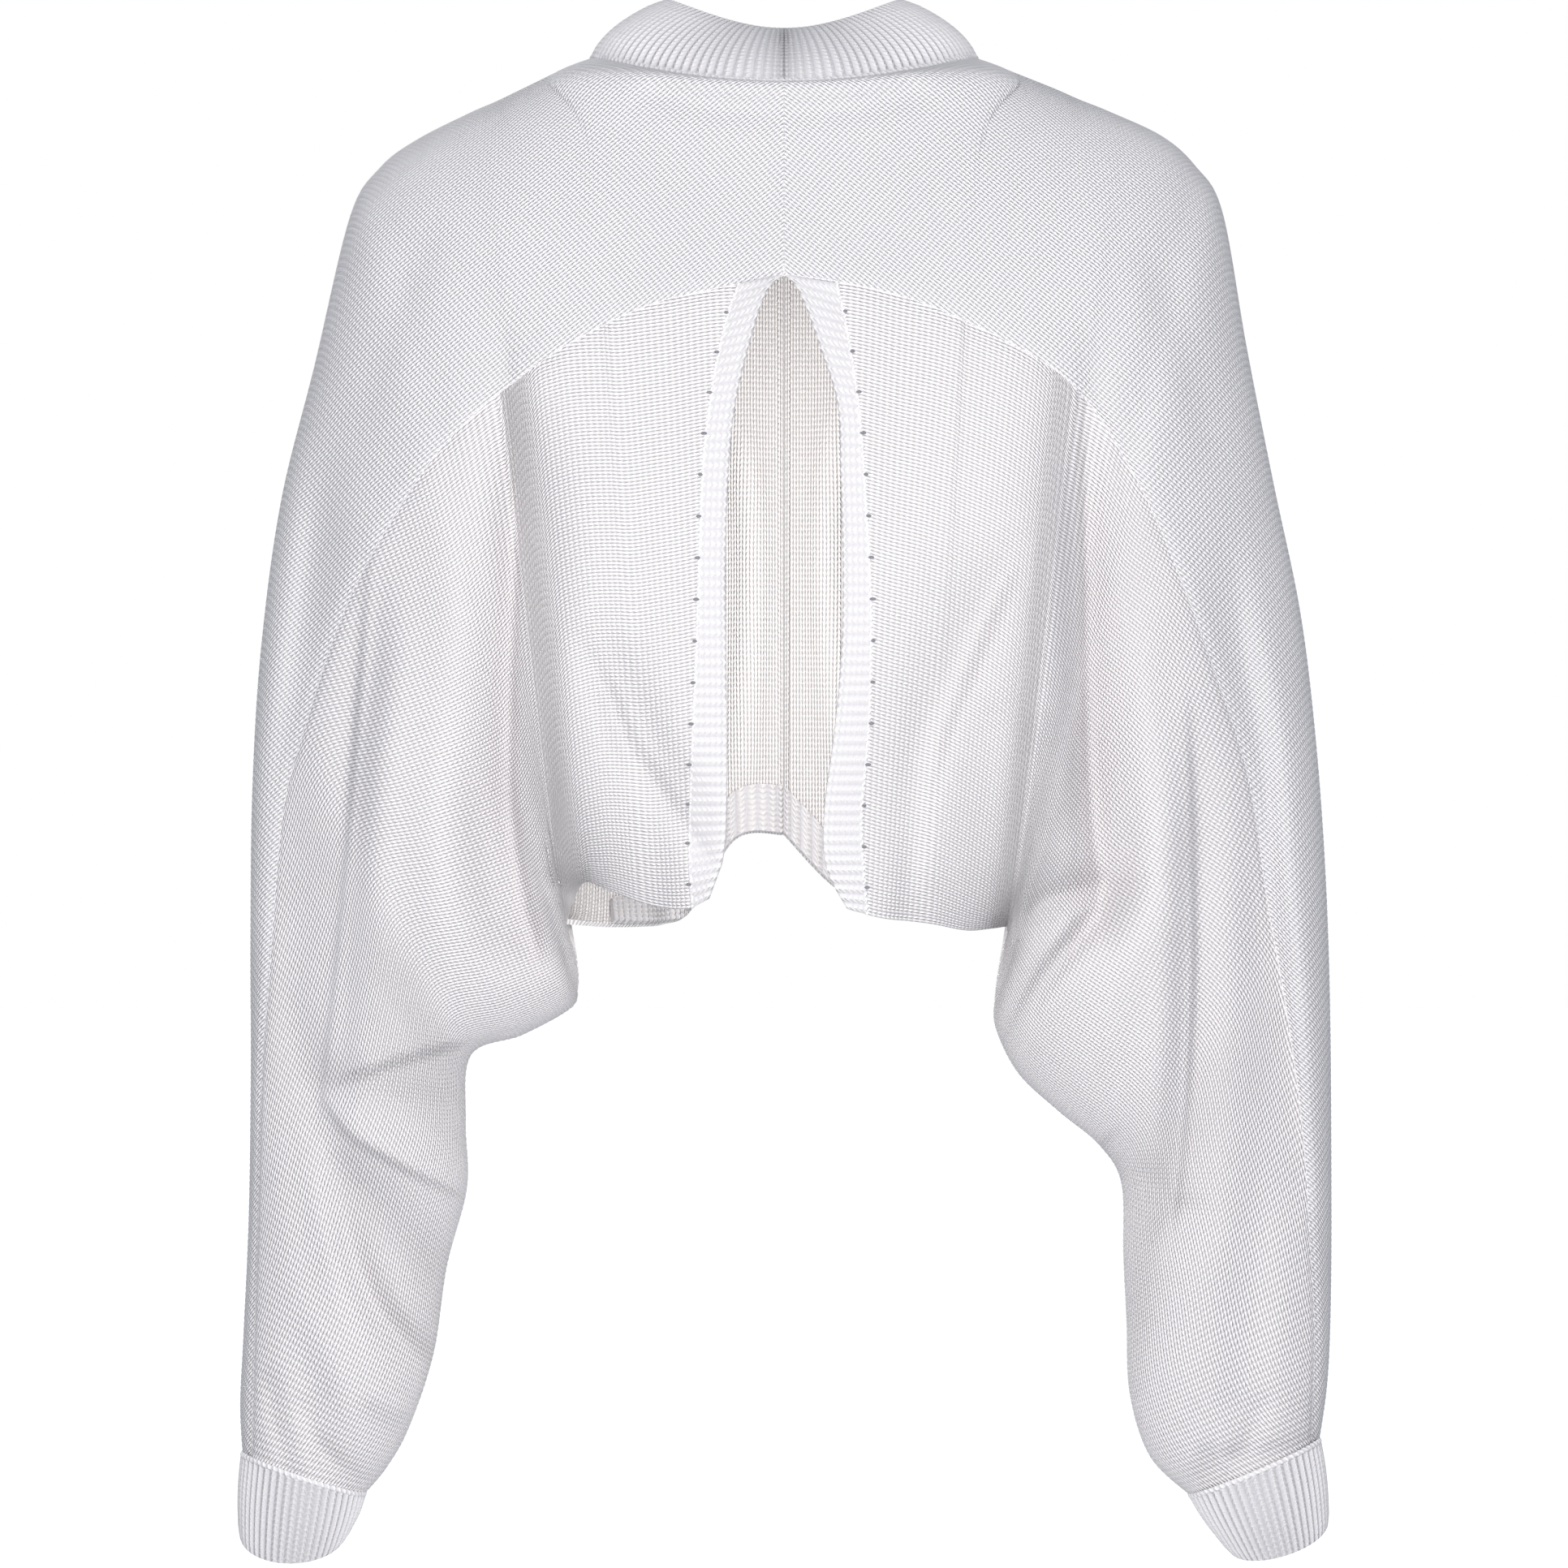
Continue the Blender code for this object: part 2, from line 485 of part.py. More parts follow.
def slit_edge(side, rows):
    """The lower back panel's edge beside the slit band: its section, x and z at each row."""
    edge = smooth([(r.out_x, r.out_z) for r in side.slit], np.linspace(0, len(side.slit) - 1, 60))
    found = []
    for t in np.linspace(0, 1, rows):
        u = np.array([SLIT_GUESS])
        for _ in range(SEARCH_ROUNDS):
            seam = share_to_v(side, u, arc_share(side, u))
            z = surface(side, BACK, u, seam + (1 - seam) * t)[0, 2]
            x = np.interp(-z, -edge[:, 1], edge[:, 0]) + SEAM_GAP
            u, _ = locate(side, np.array([x]), np.array([z]))
        found.append((u[0], x, z))
    return np.array(found).T


def panel_columns(start):
    """Section numbers of a panel's columns, from its start beside the slit to the wrist."""
    by_neck = np.linspace(start, NECK_SECTION, NECK_COLUMNS, endpoint=False)
    return np.concatenate([by_neck, np.linspace(NECK_SECTION, LAST, SLEEVE_COLUMNS)])


def full_columns(start):
    """Section numbers from the centre seam to the wrist, which match the panel's columns."""
    centre = np.linspace(CENTRE_START, start, CENTRE_COLUMNS, endpoint=False)
    return np.concatenate([centre, panel_columns(start)])


def seam_v(side, u, clear):
    """The v of the arc seam at each section of a grid, moved by a small clearance."""
    flat = np.ravel(u)
    over, end, _, _ = section_values(side, BACK, flat)
    length = np.linalg.norm(end - over, axis=-1)
    return (share_to_v(side, flat, arc_share(side, flat)) + clear / length).reshape(np.shape(u))


def add_yoke(name, side, material):
    """Makes one half of the upper back, with the outer sleeve down to the cuff."""
    u = full_columns(slit_edge(side, 2)[0][0])
    top = top_share(side, BACK, u)
    low = seam_v(side, u, -ARC_CLEAR)
    t = np.linspace(0, 1, YOKE_ROWS)[:, None]
    v = top + (low - top) * t
    return add_cloth(name, side, BACK, np.broadcast_to(u, v.shape), v, material)


def add_back_panel(name, side, material):
    """Makes one lower back panel, which runs on as the sleeve's underside."""
    u = np.stack([panel_columns(start) for start in slit_edge(side, PANEL_ROWS)[0]])
    low = seam_v(side, u, ARC_CLEAR)
    high = end_share(side, BACK, u)
    t = np.linspace(0, 1, PANEL_ROWS)[:, None]
    return add_cloth(name, side, BACK, u, low + (high - low) * t, material)


def add_front(name, side, material):
    """Makes one half of the front with its share of the sleeve."""
    first, last = slit_edge(side, 2)[0]
    t = np.linspace(0, 1, FRONT_ROWS)[:, None]
    u = full_columns(first) * (1 - t) + full_columns(last) * t
    top = top_share(side, FRONT, u)
    v = top + (end_share(side, FRONT, u) - top) * t
    return add_cloth(name, side, FRONT, u, v, material)


def add_slit_band(name, side, material):
    """Makes the ribbed band along one edge of the slit, its ribs across the band."""
    _, edge_x, edge_z = slit_edge(side, PANEL_ROWS)

    def place(rows, columns, raise_by):
        t = np.linspace(0, len(side.slit) - 1, rows)
        near = smooth([(r.in_x, r.in_z) for r in side.slit], t)
        far = smooth([(r.out_x, r.out_z) for r in side.slit], t)
        far[:, 0] = np.interp(-far[:, 1], -edge_z, edge_x) - SLIT_CLEAR
        mix = np.linspace(0, 1, columns)[None, :, None]
        points = near[:, None] + (far - near)[:, None] * mix
        u, v = locate(side, points[..., 0], points[..., 1])
        return surface(side, BACK, u, v) + raise_by * surface_normal(side, BACK, u, v)

    rows = 2 * SLIT_RIBS + 1
    rib = np.where(np.arange(rows) % 2 == 0, 0, RIB_RAISE)[:, None, None]
    outer = place(rows, 3, rib)
    inner = place(SLIT_RIBS + 1, 2, -WALL)
    return add_wall(name, outer, inner, material)


def neck_ring(count):
    """Points of the neck seam, round from the left shoulder over the back."""
    points = []
    quarter = count // 4
    runs = [(LEFT, BACK, True), (RIGHT, BACK, False), (RIGHT, FRONT, True), (LEFT, FRONT, False)]
    for side, face, inward in runs:
        turn = np.arange(quarter) / quarter * NECK_SECTION
        u = NECK_SECTION - turn if inward else turn
        points.append(surface(side, face, u, 0.0))
    return np.concatenate(points)


def add_neckband(name, material):
    """Makes the ribbed neckband, which leans in all round."""
    def place(count, rows, offset, ribbed):
        ring = neck_ring(count)
        out = ring * [1, 1, 0]
        out = out / np.linalg.norm(out, axis=1)[:, None]
        layers = []
        for t in np.linspace(BAND_START, 1, rows):
            lean = (2 * t * (1 - t) * BAND_BEND_LEAN + t * t) * BAND_LEAN
            rise = (2 * t * (1 - t) * BAND_BEND_RISE + t * t) * BAND_RISE
            lean_slope = ((1 - t) * BAND_BEND_LEAN + t * (1 - BAND_BEND_LEAN)) * BAND_LEAN
            rise_slope = ((1 - t) * BAND_BEND_RISE + t * (1 - BAND_BEND_RISE)) * BAND_RISE
            slope = np.array([lean_slope, rise_slope]) / np.hypot(lean_slope, rise_slope)
            normal = out * slope[1] + np.array([0, 0, slope[0]])
            rib = np.where(np.arange(count) % 2 == 0, 0, RIB_RAISE) if ribbed else 0 * np.arange(count)
            point = ring - out * lean + np.array([0, 0, rise])
            layers.append(point + normal * (offset + rib)[:, None])
        return np.stack(layers)

    outer = place(2 * BAND_RIBS, 3, 0.0, True)
    inner = place(BAND_RIBS, 3, -BAND_WALL, False)
    return add_wall(name, outer, inner, material, closed=True)


def add_cuff(name, side, material):
    """Makes a ribbed cuff, from the sleeve's end ring down to its own lower edge."""
    row = side.sections[-1]
    edge = side.cuff

    def place(count, rows, offset, ribbed):
        angle = np.arange(count) / count * 2 * np.pi
        way = (1 - np.cos(angle)) / 2
        rib = np.where(np.arange(count) % 2 == 0, 0, RIB_RAISE) if ribbed else 0 * angle
        layers = []
        for t in np.linspace(0, 1, rows):
            belly = 1 + CUFF_BELLY * np.sin(np.pi * t)
            a = np.array([row.over_x, row.over_z]) * (1 - t) + np.array([edge.over_x, edge.over_z]) * t
            b = np.array([row.end_x, row.end_z]) * (1 - t) + np.array([edge.end_x, edge.end_z]) * t
            middle = (a + b) / 2
            half = (a - b) / 2 * belly
            radius = np.linalg.norm(half)
            depth = row.back * (1 - t) + edge.depth * t * belly
            flat = middle + half * (1 - 2 * way)[:, None] * (radius + offset + rib)[:, None] / radius
            depths = np.sin(angle) * (depth + offset + rib) + row.mid_y
            dip = edge.dip * t * np.sin(angle) + CUFF_CLEAR * (1 - t)
            layers.append(np.stack([side.sign * flat[:, 0], depths, flat[:, 1] - dip], -1))
        return np.stack(layers)

    outer = place(2 * CUFF_RIBS, 3, 0.0, True)
    inner = place(CUFF_RIBS, 3, -WALL, False)
    return add_wall(name, outer, inner, material, closed=True)


def hem_strip(side, face, start, stop, across, up, offset):
    """Points of a hem band's face: across its length, and up from the hem, inside the wall."""
    u = np.linspace(start, stop, across)
    over, end, _, _ = section_values(side, face, u)
    length = np.linalg.norm(end - over, axis=-1)
    t = np.linspace(0, 1, up)[:, None]
    v = 1 - t * HEM_BAND_HEIGHT / length * HEM_TURN
    u = np.broadcast_to(u, v.shape)
    return surface(side, face, u, v) - offset * surface_normal(side, face, u, v)


def add_hem_band_back(name, side, material):
    """Makes the hem band turned up inside one half of the back, ribs on its open side."""
    start = slit_edge(side, 2)[0][-1] + 0.05
    stop = HEM_BACK_STOP
    ribs = int(HEM_BACK_LENGTH / HEM_RIB)
    outer = hem_strip(side, BACK, start, stop, ribs + 1, 3, WALL + HEM_CLEAR)
    rib = np.where(np.arange(2 * ribs + 1) % 2 == 0, 0, RIB_RAISE)
    inner = hem_strip(side, BACK, start, stop, 2 * ribs + 1, 3, HEM_INSET + rib[None, :, None])
    return add_wall(name, inner, outer, material)


def add_hem_band_front(name, material):
    """Makes the hem band turned up inside the whole front."""
    stop = HEM_FRONT_STOP
    ribs = int(HEM_FRONT_LENGTH / HEM_RIB)

    def both(across, ribbed, offset):
        rib = np.where(np.arange(across) % 2 == 0, 0, RIB_RAISE) if ribbed else np.zeros(across)
        depth = offset + rib[None, :, None]
        left = hem_strip(LEFT, FRONT, CENTRE_START, stop, across, 3, depth)
        right = hem_strip(RIGHT, FRONT, CENTRE_START, stop, across, 3, depth)
        return np.concatenate([right[:, ::-1], left], axis=1)

    inner = both(2 * ribs + 1, True, HEM_INSET)
    outer = both(ribs + 1, False, WALL + HEM_CLEAR)
    return add_wall(name, inner, outer, material)


def build():
    for thing in list(bpy.data.objects):
        bpy.data.objects.remove(thing, do_unlink=True)
    upper = knit_material("bias_knit", (0.84, 0.83, 0.85))
    lower = knit_material("side_knit", (0.86, 0.85, 0.86))
    plain = knit_material("front_knit", (0.82, 0.81, 0.81))
    ribbed = knit_material("rib_knit", (0.85, 0.84, 0.85))
    for word, side in (("left", LEFT), ("right", RIGHT)):
        add_yoke("back_yoke_" + word, side, upper)
        add_back_panel("back_panel_" + word, side, lower)
        add_front("front_" + word, side, plain)
        add_slit_band("slit_band_" + word, side, ribbed)
        add_cuff("cuff_" + word, side, ribbed)
        add_hem_band_back("hem_band_back_" + word, side, ribbed)
    add_neckband("neckband", ribbed)
    add_hem_band_front("hem_band_front", ribbed)


build()
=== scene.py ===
"""Batwing sweater for a studio picture: fine knitted shells over the fixed model, and the stage.

The sweater is seen from the back. Metres, +Z up; the wearer faces -Y and the wearer's left arm
is at +X. The cloth's own sizes are in millimetres.
"""
from collections import namedtuple

import bmesh
import bpy
import numpy as np
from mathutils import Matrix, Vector


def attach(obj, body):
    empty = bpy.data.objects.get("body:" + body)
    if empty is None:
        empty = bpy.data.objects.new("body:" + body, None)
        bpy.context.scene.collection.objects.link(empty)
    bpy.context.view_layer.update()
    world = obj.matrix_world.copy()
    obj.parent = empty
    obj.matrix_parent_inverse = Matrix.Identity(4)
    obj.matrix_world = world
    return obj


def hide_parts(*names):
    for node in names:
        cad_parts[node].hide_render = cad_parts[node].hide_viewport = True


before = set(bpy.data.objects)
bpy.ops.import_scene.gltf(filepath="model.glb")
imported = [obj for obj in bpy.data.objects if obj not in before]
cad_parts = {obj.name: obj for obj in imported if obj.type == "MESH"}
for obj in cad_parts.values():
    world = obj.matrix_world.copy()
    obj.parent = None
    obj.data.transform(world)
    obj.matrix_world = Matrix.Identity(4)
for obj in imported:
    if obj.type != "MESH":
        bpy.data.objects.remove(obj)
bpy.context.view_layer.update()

bl_info = {
    "name": "Batwing Sweater",
    "version": (1, 0, 0),
    "blender": (4, 5, 0),
    "location": "3D View > Sidebar > Sweater",
    "description": "Builds a cropped batwing sweater in chunky knit, and a stage for its picture",
    "category": "Add Mesh",
}

MM = 0.001

# Sizes that the surface has in common with the fixed model, in millimetres
WALL = 2.4
SEAM_GAP = 0.3
NECK_CLEAR = 0.4        # from the neck seam to a shell's top edge
SIDE_CLEAR = 0.1        # from the overarm or underarm line to a shell's edge
NECK_WIDTH = 170.0
NECK_BACK = 72.0
NECK_FRONT = 74.0
NECK_DROP_BACK = 15.8
NECK_DROP_FRONT = 50.0
NECK_SIDE_Z = 1.0
BAND_RISE = 26.0
BAND_LEAN = 33.0
BAND_BEND_LEAN = 0.17
BAND_BEND_RISE = 0.56
BAND_WALL = 2.0
HEM_BAND_HEIGHT = 25.0
HEM_TURN = 0.75
HEM_GAP = 0.5
CUFF_BELLY = 0.04
SEARCH_ROUNDS = 8       # rounds in which a point's section is searched for
SEARCH_SECTIONS = 121   # and the sections that each round looks at
ROUTE_STEPS = 8         # steps between two points of a fold's route
ARC_STEPS = 12          # and of the arc seam
ARC_LIMITS = (0.02, 0.9)  # shares of a section between which the arc seam crosses it
EDGE_POINTS = 60        # points along the outer edge of a slit band

# Grids and details of the fine shells
YOKE_COLUMNS = 260
YOKE_ROWS = 70
PANEL_COLUMNS = 270
PANEL_ROWS = 130
FRONT_ROWS = 110
SPACING_STEPS = 300     # sections over which the even steps are worked out
DOWN_STEPS = 80         # and points down each of them
MIDDLE_V = 0.6          # the v at which steps along the cloth are measured
ARC_CLEAR = 0.2         # from the arc seam's line to the cloth on either side
SLIT_ROWS = 60
SLIT_COLUMNS = 10
NECK_ROWS = 14
CUFF_ROWS = 18
HEM_ROWS = 8
HEM_RIBS = 26
RIB_STEPS = 6           # points across one rib
RIB_RAISE = 0.9
HEM_RISE = 0.6
SLIT_RISE = 0.4
NECK_BIND = (0.12, 0.25)  # share of the neckband over which its ribs close up, and how far
CUFF_BIND = (0.08, 0.3)   # the same for a cuff
BAND_TOP_RISE = 1.3     # how far a slit band's top runs on to the arc seam
BAND_TOP_SOFT = 4.0     # and over what length that ends
SEAM_DIP = 1.0          # how far the cloth dips into the arc seam
SEAM_SOFT = 2.6         # and over what width
EDGE_ROLL = 1.2         # how far a slit band's free edge rolls in
ROLL_SPAN = 0.22        # share of the band's width that rolls
ALLOWANCE_SPAN = (0.02, 0.16)    # sections that the front seam's allowance covers
ALLOWANCE_REACH = (0.04, 0.985)  # and its v, from the neck to the hem
ALLOWANCE_CURVE = (0.35, 0.98)   # half turns over which it swells
ALLOWANCE_RISE = 1.4
ALLOWANCE_ROWS = 90
ALLOWANCE_COLUMNS = 6
YARN_SIDES = 8
YARN_SQUASH = 0.7       # height of a yarn over its width
YARN_THIN = 0.72        # width of a yarn between two stitches over its width in one
STITCH_STEPS = 6        # rings of points along one linking stitch
HEM_START_CLEAR = 0.05  # sections from the slit band to the back's hem bands
CHAIN_EDGE = 0.02       # least v at which a linking chain's direction is measured
CENTRE_TOP = 0.03       # the v at which the centre back's chain starts
NECK_TILT = (0, 0, 0.6)  # how the neck's chain leans up from its ring
EYELET_FIRST = 14.0
EYELET_PITCH = 18.0
EYELET_LAST = 4.0       # clear length after the last eyelet
EYELET_WIDTH = 1.3
EYELET_SPREAD = (0.8, 0.1)  # least share of that width, and the step to each of the next three
EYELET_HEIGHT = 0.7
EYELET_DEPTH = 0.5
EYELET_OUT = 0.9
EYELET_LIFT = 0.35
SHARP_ANGLE = 60        # degrees over which an edge stays sharp
BIAS_TURN = 52.0        # degrees between the yoke's wales and the plumb line
STITCH_SLANT = 1.1
FUZZ_SCALE = 1500.0     # noise of single fibres
CLOUD_SCALE = 14.0      # noise of the yarn's uneven shade
NOISE_DETAIL = 2.0
LOOP_SHARE = 0.55       # share of the jersey's relief that each loop makes
RIB_LOOP_SHARE = 0.45   # and of a rib's
GAP_POWER = 2.5         # how sharply a gap between stitches darkens
RIB_GAP_POWER = 1.5
FUZZ_SHARE = 0.25       # relief of the fibres over the jersey's
RIB_FUZZ_SHARE = 0.2    # and over a rib's
LOOP_SHADE = 0.25       # shade between a rib's loops over the gap shade
RIB_DEPTH = 1.3         # depth of a rib's stitches over the jersey's
TWIST_PITCH = 2.2       # turn of the linking yarn's twist along it
YARN_ROUGHNESS = 0.85
YARN_SHEEN = 0.15
SHEEN_ROUGHNESS = 0.6
YARN_SPECULAR = 0.25
SHADOW_COLOUR = (0.36, 0.36, 0.40)
# painted shadow inside the small gaps beside the slit bands
GAP_SHADOW_COLOUR = (0.16, 0.16, 0.18)
PAPER_COLOUR = (0.93, 0.93, 0.93)
PAPER_GLOW = (1.0, 0.995, 0.985)
PAPER_ROUGHNESS = 0.9
ROOM_COLOUR = (0.95, 0.99, 1.05)
BACKDROP = (-0.97, -0.75)  # the room is white under the first Y of a direction, dim over the last
FLOOR_SIZE = 80.0
FLOOR_GLOW = 0.5        # how much the floor glows far behind the sweater
GLOW_START = -2.5       # where on the floor the glow starts, and where it is full
GLOW_FULL = -7.0
LAMP_COLOUR = (1.0, 0.985, 0.97)
MIDDLE = (0, 0, -0.34)  # what the key light points at
KEY_PLACE = (0, 1.15, -0.30)
KEY_SIZE = 0.5
TOP_PLACE = (0, 0.8, 0.75)
TOP_SIZE = 0.5
TOP_AIM = (0, 0, -0.05)  # the shoulders
FACE_PLACE = (0.45, -1.45, 0.35)
FACE_SIZE = 0.8
HOLLOW_PLACE = (0, 0.075, -0.235)  # inside the sweater, at the slit
HOLLOW_AIM = (0, -1.0, -0.235)
HOLLOW_WIDTH = 0.04
HOLLOW_HEIGHT = 0.24


def table_of(kind, values):
    """A table whose rows are all of one kind."""
    return [kind(*value) for value in values]


# One row for each section, from the centre line out to the wrist. A section runs from the
# overarm line, which is the garment's outline, to the hem or the underarm line. The first four
# start on the neck seam instead, at the turns given below: their over_x and over_z only show it.
Section = namedtuple("Section", "over_x over_z end_x end_z mid_y back front power")
LEFT_SECTIONS = table_of(Section, [
    (0.0, -14.8, 0.0, -372, 0, 104, -92, 0.62),
    (30.5, -12.8, 22.0, -372, 0, 104, -92, 0.62),
    (58.0, -7.5, 42.0, -375, 0, 103, -91, 0.62),
    (78.2, -1.4, 54.0, -374.5, 0, 102, -90, 0.62),
    (85.0, 1.0, 64.0, -372, 0, 101, -89, 0.62),
    (110, -11, 78.0, -367, 0, 100, -88, 0.62),
    (125, -18, 89.0, -365, 0, 98, -86, 0.63),
    (139, -24, 96.5, -383, 0, 96, -84, 0.65),
    (163, -36, 93.0, -394, 0, 92, -80, 0.68),
    (179, -48, 91.5, -403, -1, 88, -77, 0.71),
    (192, -69, 91.5, -411, -1, 84, -74, 0.74),
    (208, -135, 94.5, -420, -2, 75, -68, 0.79),
    (223, -195, 116, -432, -3, 66, -62, 0.84),
    (232, -260, 139, -441, -5, 58, -56, 0.88),
    (236, -322, 141.5, -471, -7, 52, -52, 0.92),
    (237, -388, 141, -500, -9, 47, -48, 0.95),
    (237, -447, 150, -535, -11, 43, -45, 1.00),
    (238, -512, 156, -574, -13, 38, -41, 1.00),
    (240.5, -566, 167, -607, -15, 33, -36, 1.00),
    (242, -597, 177, -625, -16, 29, -31, 1.00),
    (241, -619, 187, -637, -17, 26, -26, 1.00),
])
RIGHT_SECTIONS = table_of(Section, [
    (0.0, -14.8, 0.0, -372, 0, 104, -92, 0.62),
    (30.5, -12.8, 22.0, -374, 0, 104, -92, 0.62),
    (58.0, -7.5, 42.0, -379, 0, 103, -91, 0.62),
    (78.2, -1.4, 54.0, -380.5, 0, 102, -90, 0.62),
    (85.0, 1.0, 65.0, -382, 0, 101, -89, 0.62),
    (112, -10, 80.0, -385, 0, 100, -88, 0.62),
    (128, -17, 91.0, -384.5, 0, 98, -86, 0.63),
    (143, -23, 98.5, -384, 0, 96, -84, 0.65),
    (167, -34, 97.0, -394, 0, 92, -80, 0.68),
    (182, -47, 95.0, -405, -1, 88, -77, 0.71),
    (194, -67, 93.6, -416, -1, 84, -74, 0.74),
    (205, -127, 94.0, -429, -2, 75, -68, 0.79),
    (217, -187, 104, -449, -3, 66, -62, 0.84),
    (229, -244, 122, -466, -5, 59, -57, 0.88),
    (236, -300, 140, -481, -7, 54, -53, 0.92),
    (240.5, -360, 150, -498, -9, 49, -49, 0.95),
    (242.7, -420, 151, -530, -11, 45, -46, 1.00),
    (243.4, -485, 152.5, -560, -13, 41, -43, 1.00),
    (243.4, -545, 154, -592, -15, 36, -38, 1.00),
    (242, -585, 163, -620, -16, 30, -32, 1.00),
    (238.3, -613, 181, -637.6, -17, 26, -26, 1.00),
])
NECK_TURN = [90, 69, 47, 23, 0]  # degrees round the neck seam at which the first sections start
NECK_SECTION = 4        # the section at the shoulder end of the neck seam
HEM_SECTION = 7         # the section at the side end of the hem
CENTRE_START = 0.006    # section at which the pieces start beside the centre seam
SLIT_GUESS = 1.3        # section from which the search for the slit's edge starts
HEM_BACK_STOP = HEM_SECTION - 1.6   # section at which the back's hem bands end
HEM_FRONT_STOP = HEM_SECTION - 1.9  # section at which the front's hem band ends
CENTRE_BLEND = 0.6      # sections over which the walls square up to the centre seam
EDGE_BLEND = 0.03       # share of a section over which the walls square up to a side seam
NECK_SPREAD = [0, 14, 34, 58, 66, 36, 14, 3, 0]  # how the first sections fan out from the neck
SPREAD_FADE = 0.04      # share of a section over which that fan ends
SHOULDER_SLOPE = 0.45   # how much the shoulder falls for each millimetre outwards
SLOPE_START = 1.5       # section at which that fall starts
SLOPE_RAMP = 2.0        # sections over which it comes in
NECK_FADE = 0.12        # share of a section over which the neck's roundness ends
STEP_ALONG = 0.02       # small steps from which the cloth's direction is measured
STEP_ACROSS = 0.004

# Where the hem lies in depth, and how the front hem's height differs, for the first sections
Hem = namedtuple("Hem", "back_y front_y front_z")
LEFT_HEM = table_of(Hem, [
    (92, -82, -344), (89, -80, -346), (81, -73, -378), (69, -64, -384),
    (61, -57, -385), (48, -45, -385), (30, -28, -384), (0, 0, -383),
])
RIGHT_HEM = table_of(Hem, [
    (92, -82, -344), (89, -80, -367), (81, -73, -376), (69, -64, -379),
    (61, -57, -381), (48, -45, -382), (30, -28, -383), (0, 0, -384),
])

# Seam between the upper back and the lower back, across the back and down the outer sleeve
LEFT_ARC = [(0, -99.6), (21, -104), (58, -113), (93, -130), (121.5, -149.6), (150, -175.6),
            (175.5, -212), (196, -251), (212, -297), (220, -324), (224, -354), (228, -405),
            (231.5, -441), (233.5, -500), (235.5, -560), (237, -617)]
RIGHT_ARC = [(0, -99.6), (25, -103), (58, -111.5), (93, -127), (121.5, -144), (137, -161.6),
             (150, -182.5), (163, -207), (176, -237), (189, -270.5), (201, -304), (208, -333),
             (213, -369), (222, -423), (229.5, -477), (234, -531), (236, -567), (235, -611)]

# The drop-shaped slit: the inner and outer edge of each ribbed band, from its top to the hem
SlitRow = namedtuple("SlitRow", "in_x in_z out_x out_z")
LEFT_SLIT = table_of(SlitRow, [
    (0.3, -101.2, 19.3, -105), (7.7, -107.5, 23, -113), (15.2, -131, 28.2, -134),
    (21.1, -157, 32.3, -158), (24.0, -187, 35.2, -187), (25.3, -228, 36.6, -228),
    (25.0, -263, 37.8, -263), (24.9, -298, 39.4, -298), (25.3, -333, 40.8, -333),
    (27.0, -353, 40.8, -355), (33.0, -371, 39.8, -374.6),
])
RIGHT_SLIT = table_of(SlitRow, [
    (0.3, -101.2, 22.8, -105), (6.7, -107.5, 25, -113), (15.5, -131, 28.8, -134),
    (23.2, -157, 32.3, -158), (24.4, -187, 34.5, -187), (25.3, -228, 37.0, -228),
    (24.8, -263, 37.6, -263), (22.0, -298, 36.6, -298), (17.6, -333, 33.6, -333),
    (18.5, -357, 34.4, -357), (28.1, -376, 36.2, -377.5),
])

# One row for each large fold: its height (below zero a trough), the reach of its slope on the
# sleeve side of a route that runs down, the reach of its other slope, and its route
Fold = namedtuple("Fold", "height out_reach in_reach route")
FOLD_SWELL = 0.3        # share of a route over which a fold swells from its start
FOLD_PAST = 22.0        # reach of a fold past the ends of its route
FOLD_END = 0.6          # share of its height that a fold keeps at its end
FOLD_BELL = 1.6         # how fast a fold fades with the square of its distance over its reach
FOLD_ROOM = 2.2         # how many times its reach a fold is felt over
LEFT_BACK_FOLDS = table_of(Fold, [
    (-15, 22, 24, [(109, -150), (113, -192), (116, -245), (118, -297), (116, -343), (110, -377)]),
    (7, 22, 22, [(140, -185), (141, -260), (147, -330), (150, -385), (143, -425)]),
    (-15, 32, 12, [(179, -215), (181, -262), (188, -315), (192, -368), (195, -422), (197, -452)]),
    (-4, 12, 14, [(132, -463), (160, -463), (197, -455)]),
    (-9, 12, 20, [(204, -140), (208, -208), (214, -261), (222, -315), (226, -369)]),
    (-12, 12, 14, [(222, -400), (207, -458), (195, -501), (185, -541), (171, -569), (158, -583)]),
    (6, 12, 12, [(226, -450), (222, -500), (212, -550), (196, -590)]),
    (-6, 26, 12, [(88, -245), (61, -297), (40, -336)]),
    (-7, 14, 14, [(135, -297), (131, -350), (121, -382), (98, -401)]),
    (-3, 6, 8, [(212, -608), (200, -622), (188, -630)]),
])
RIGHT_BACK_FOLDS = table_of(Fold, [
    (-16, 28, 12, [(125, -145), (128, -209), (130, -280), (133, -333), (136, -366)]),
    (-8, 11, 20, [(97, -384), (116, -369), (137, -365)]),
    (-7, 12, 14, [(148, -325), (146, -361), (134, -383), (112, -401), (98, -419)]),
    (-15, 24, 12, [(178, -280), (180, -350), (179, -404), (177, -450), (172, -504)]),
    (-8, 11, 20, [(138, -480), (149, -489), (172, -507)]),
    (-10, 10, 18, [(195, -200), (199, -254), (210, -308), (214, -362), (221, -423), (227, -495)]),
    (-8, 14, 12, [(172, -500), (166, -542), (160, -583)]),
    (5, 14, 14, [(152, -230), (156, -300), (156, -370), (142, -430)]),
    (-6, 14, 28, [(104, -206), (82, -248), (61, -290), (47, -333)]),
    (-4, 16, 16, [(88, -280), (88, -360)]),
    (-3, 8, 7, [(196, -621), (183, -629)]),
])
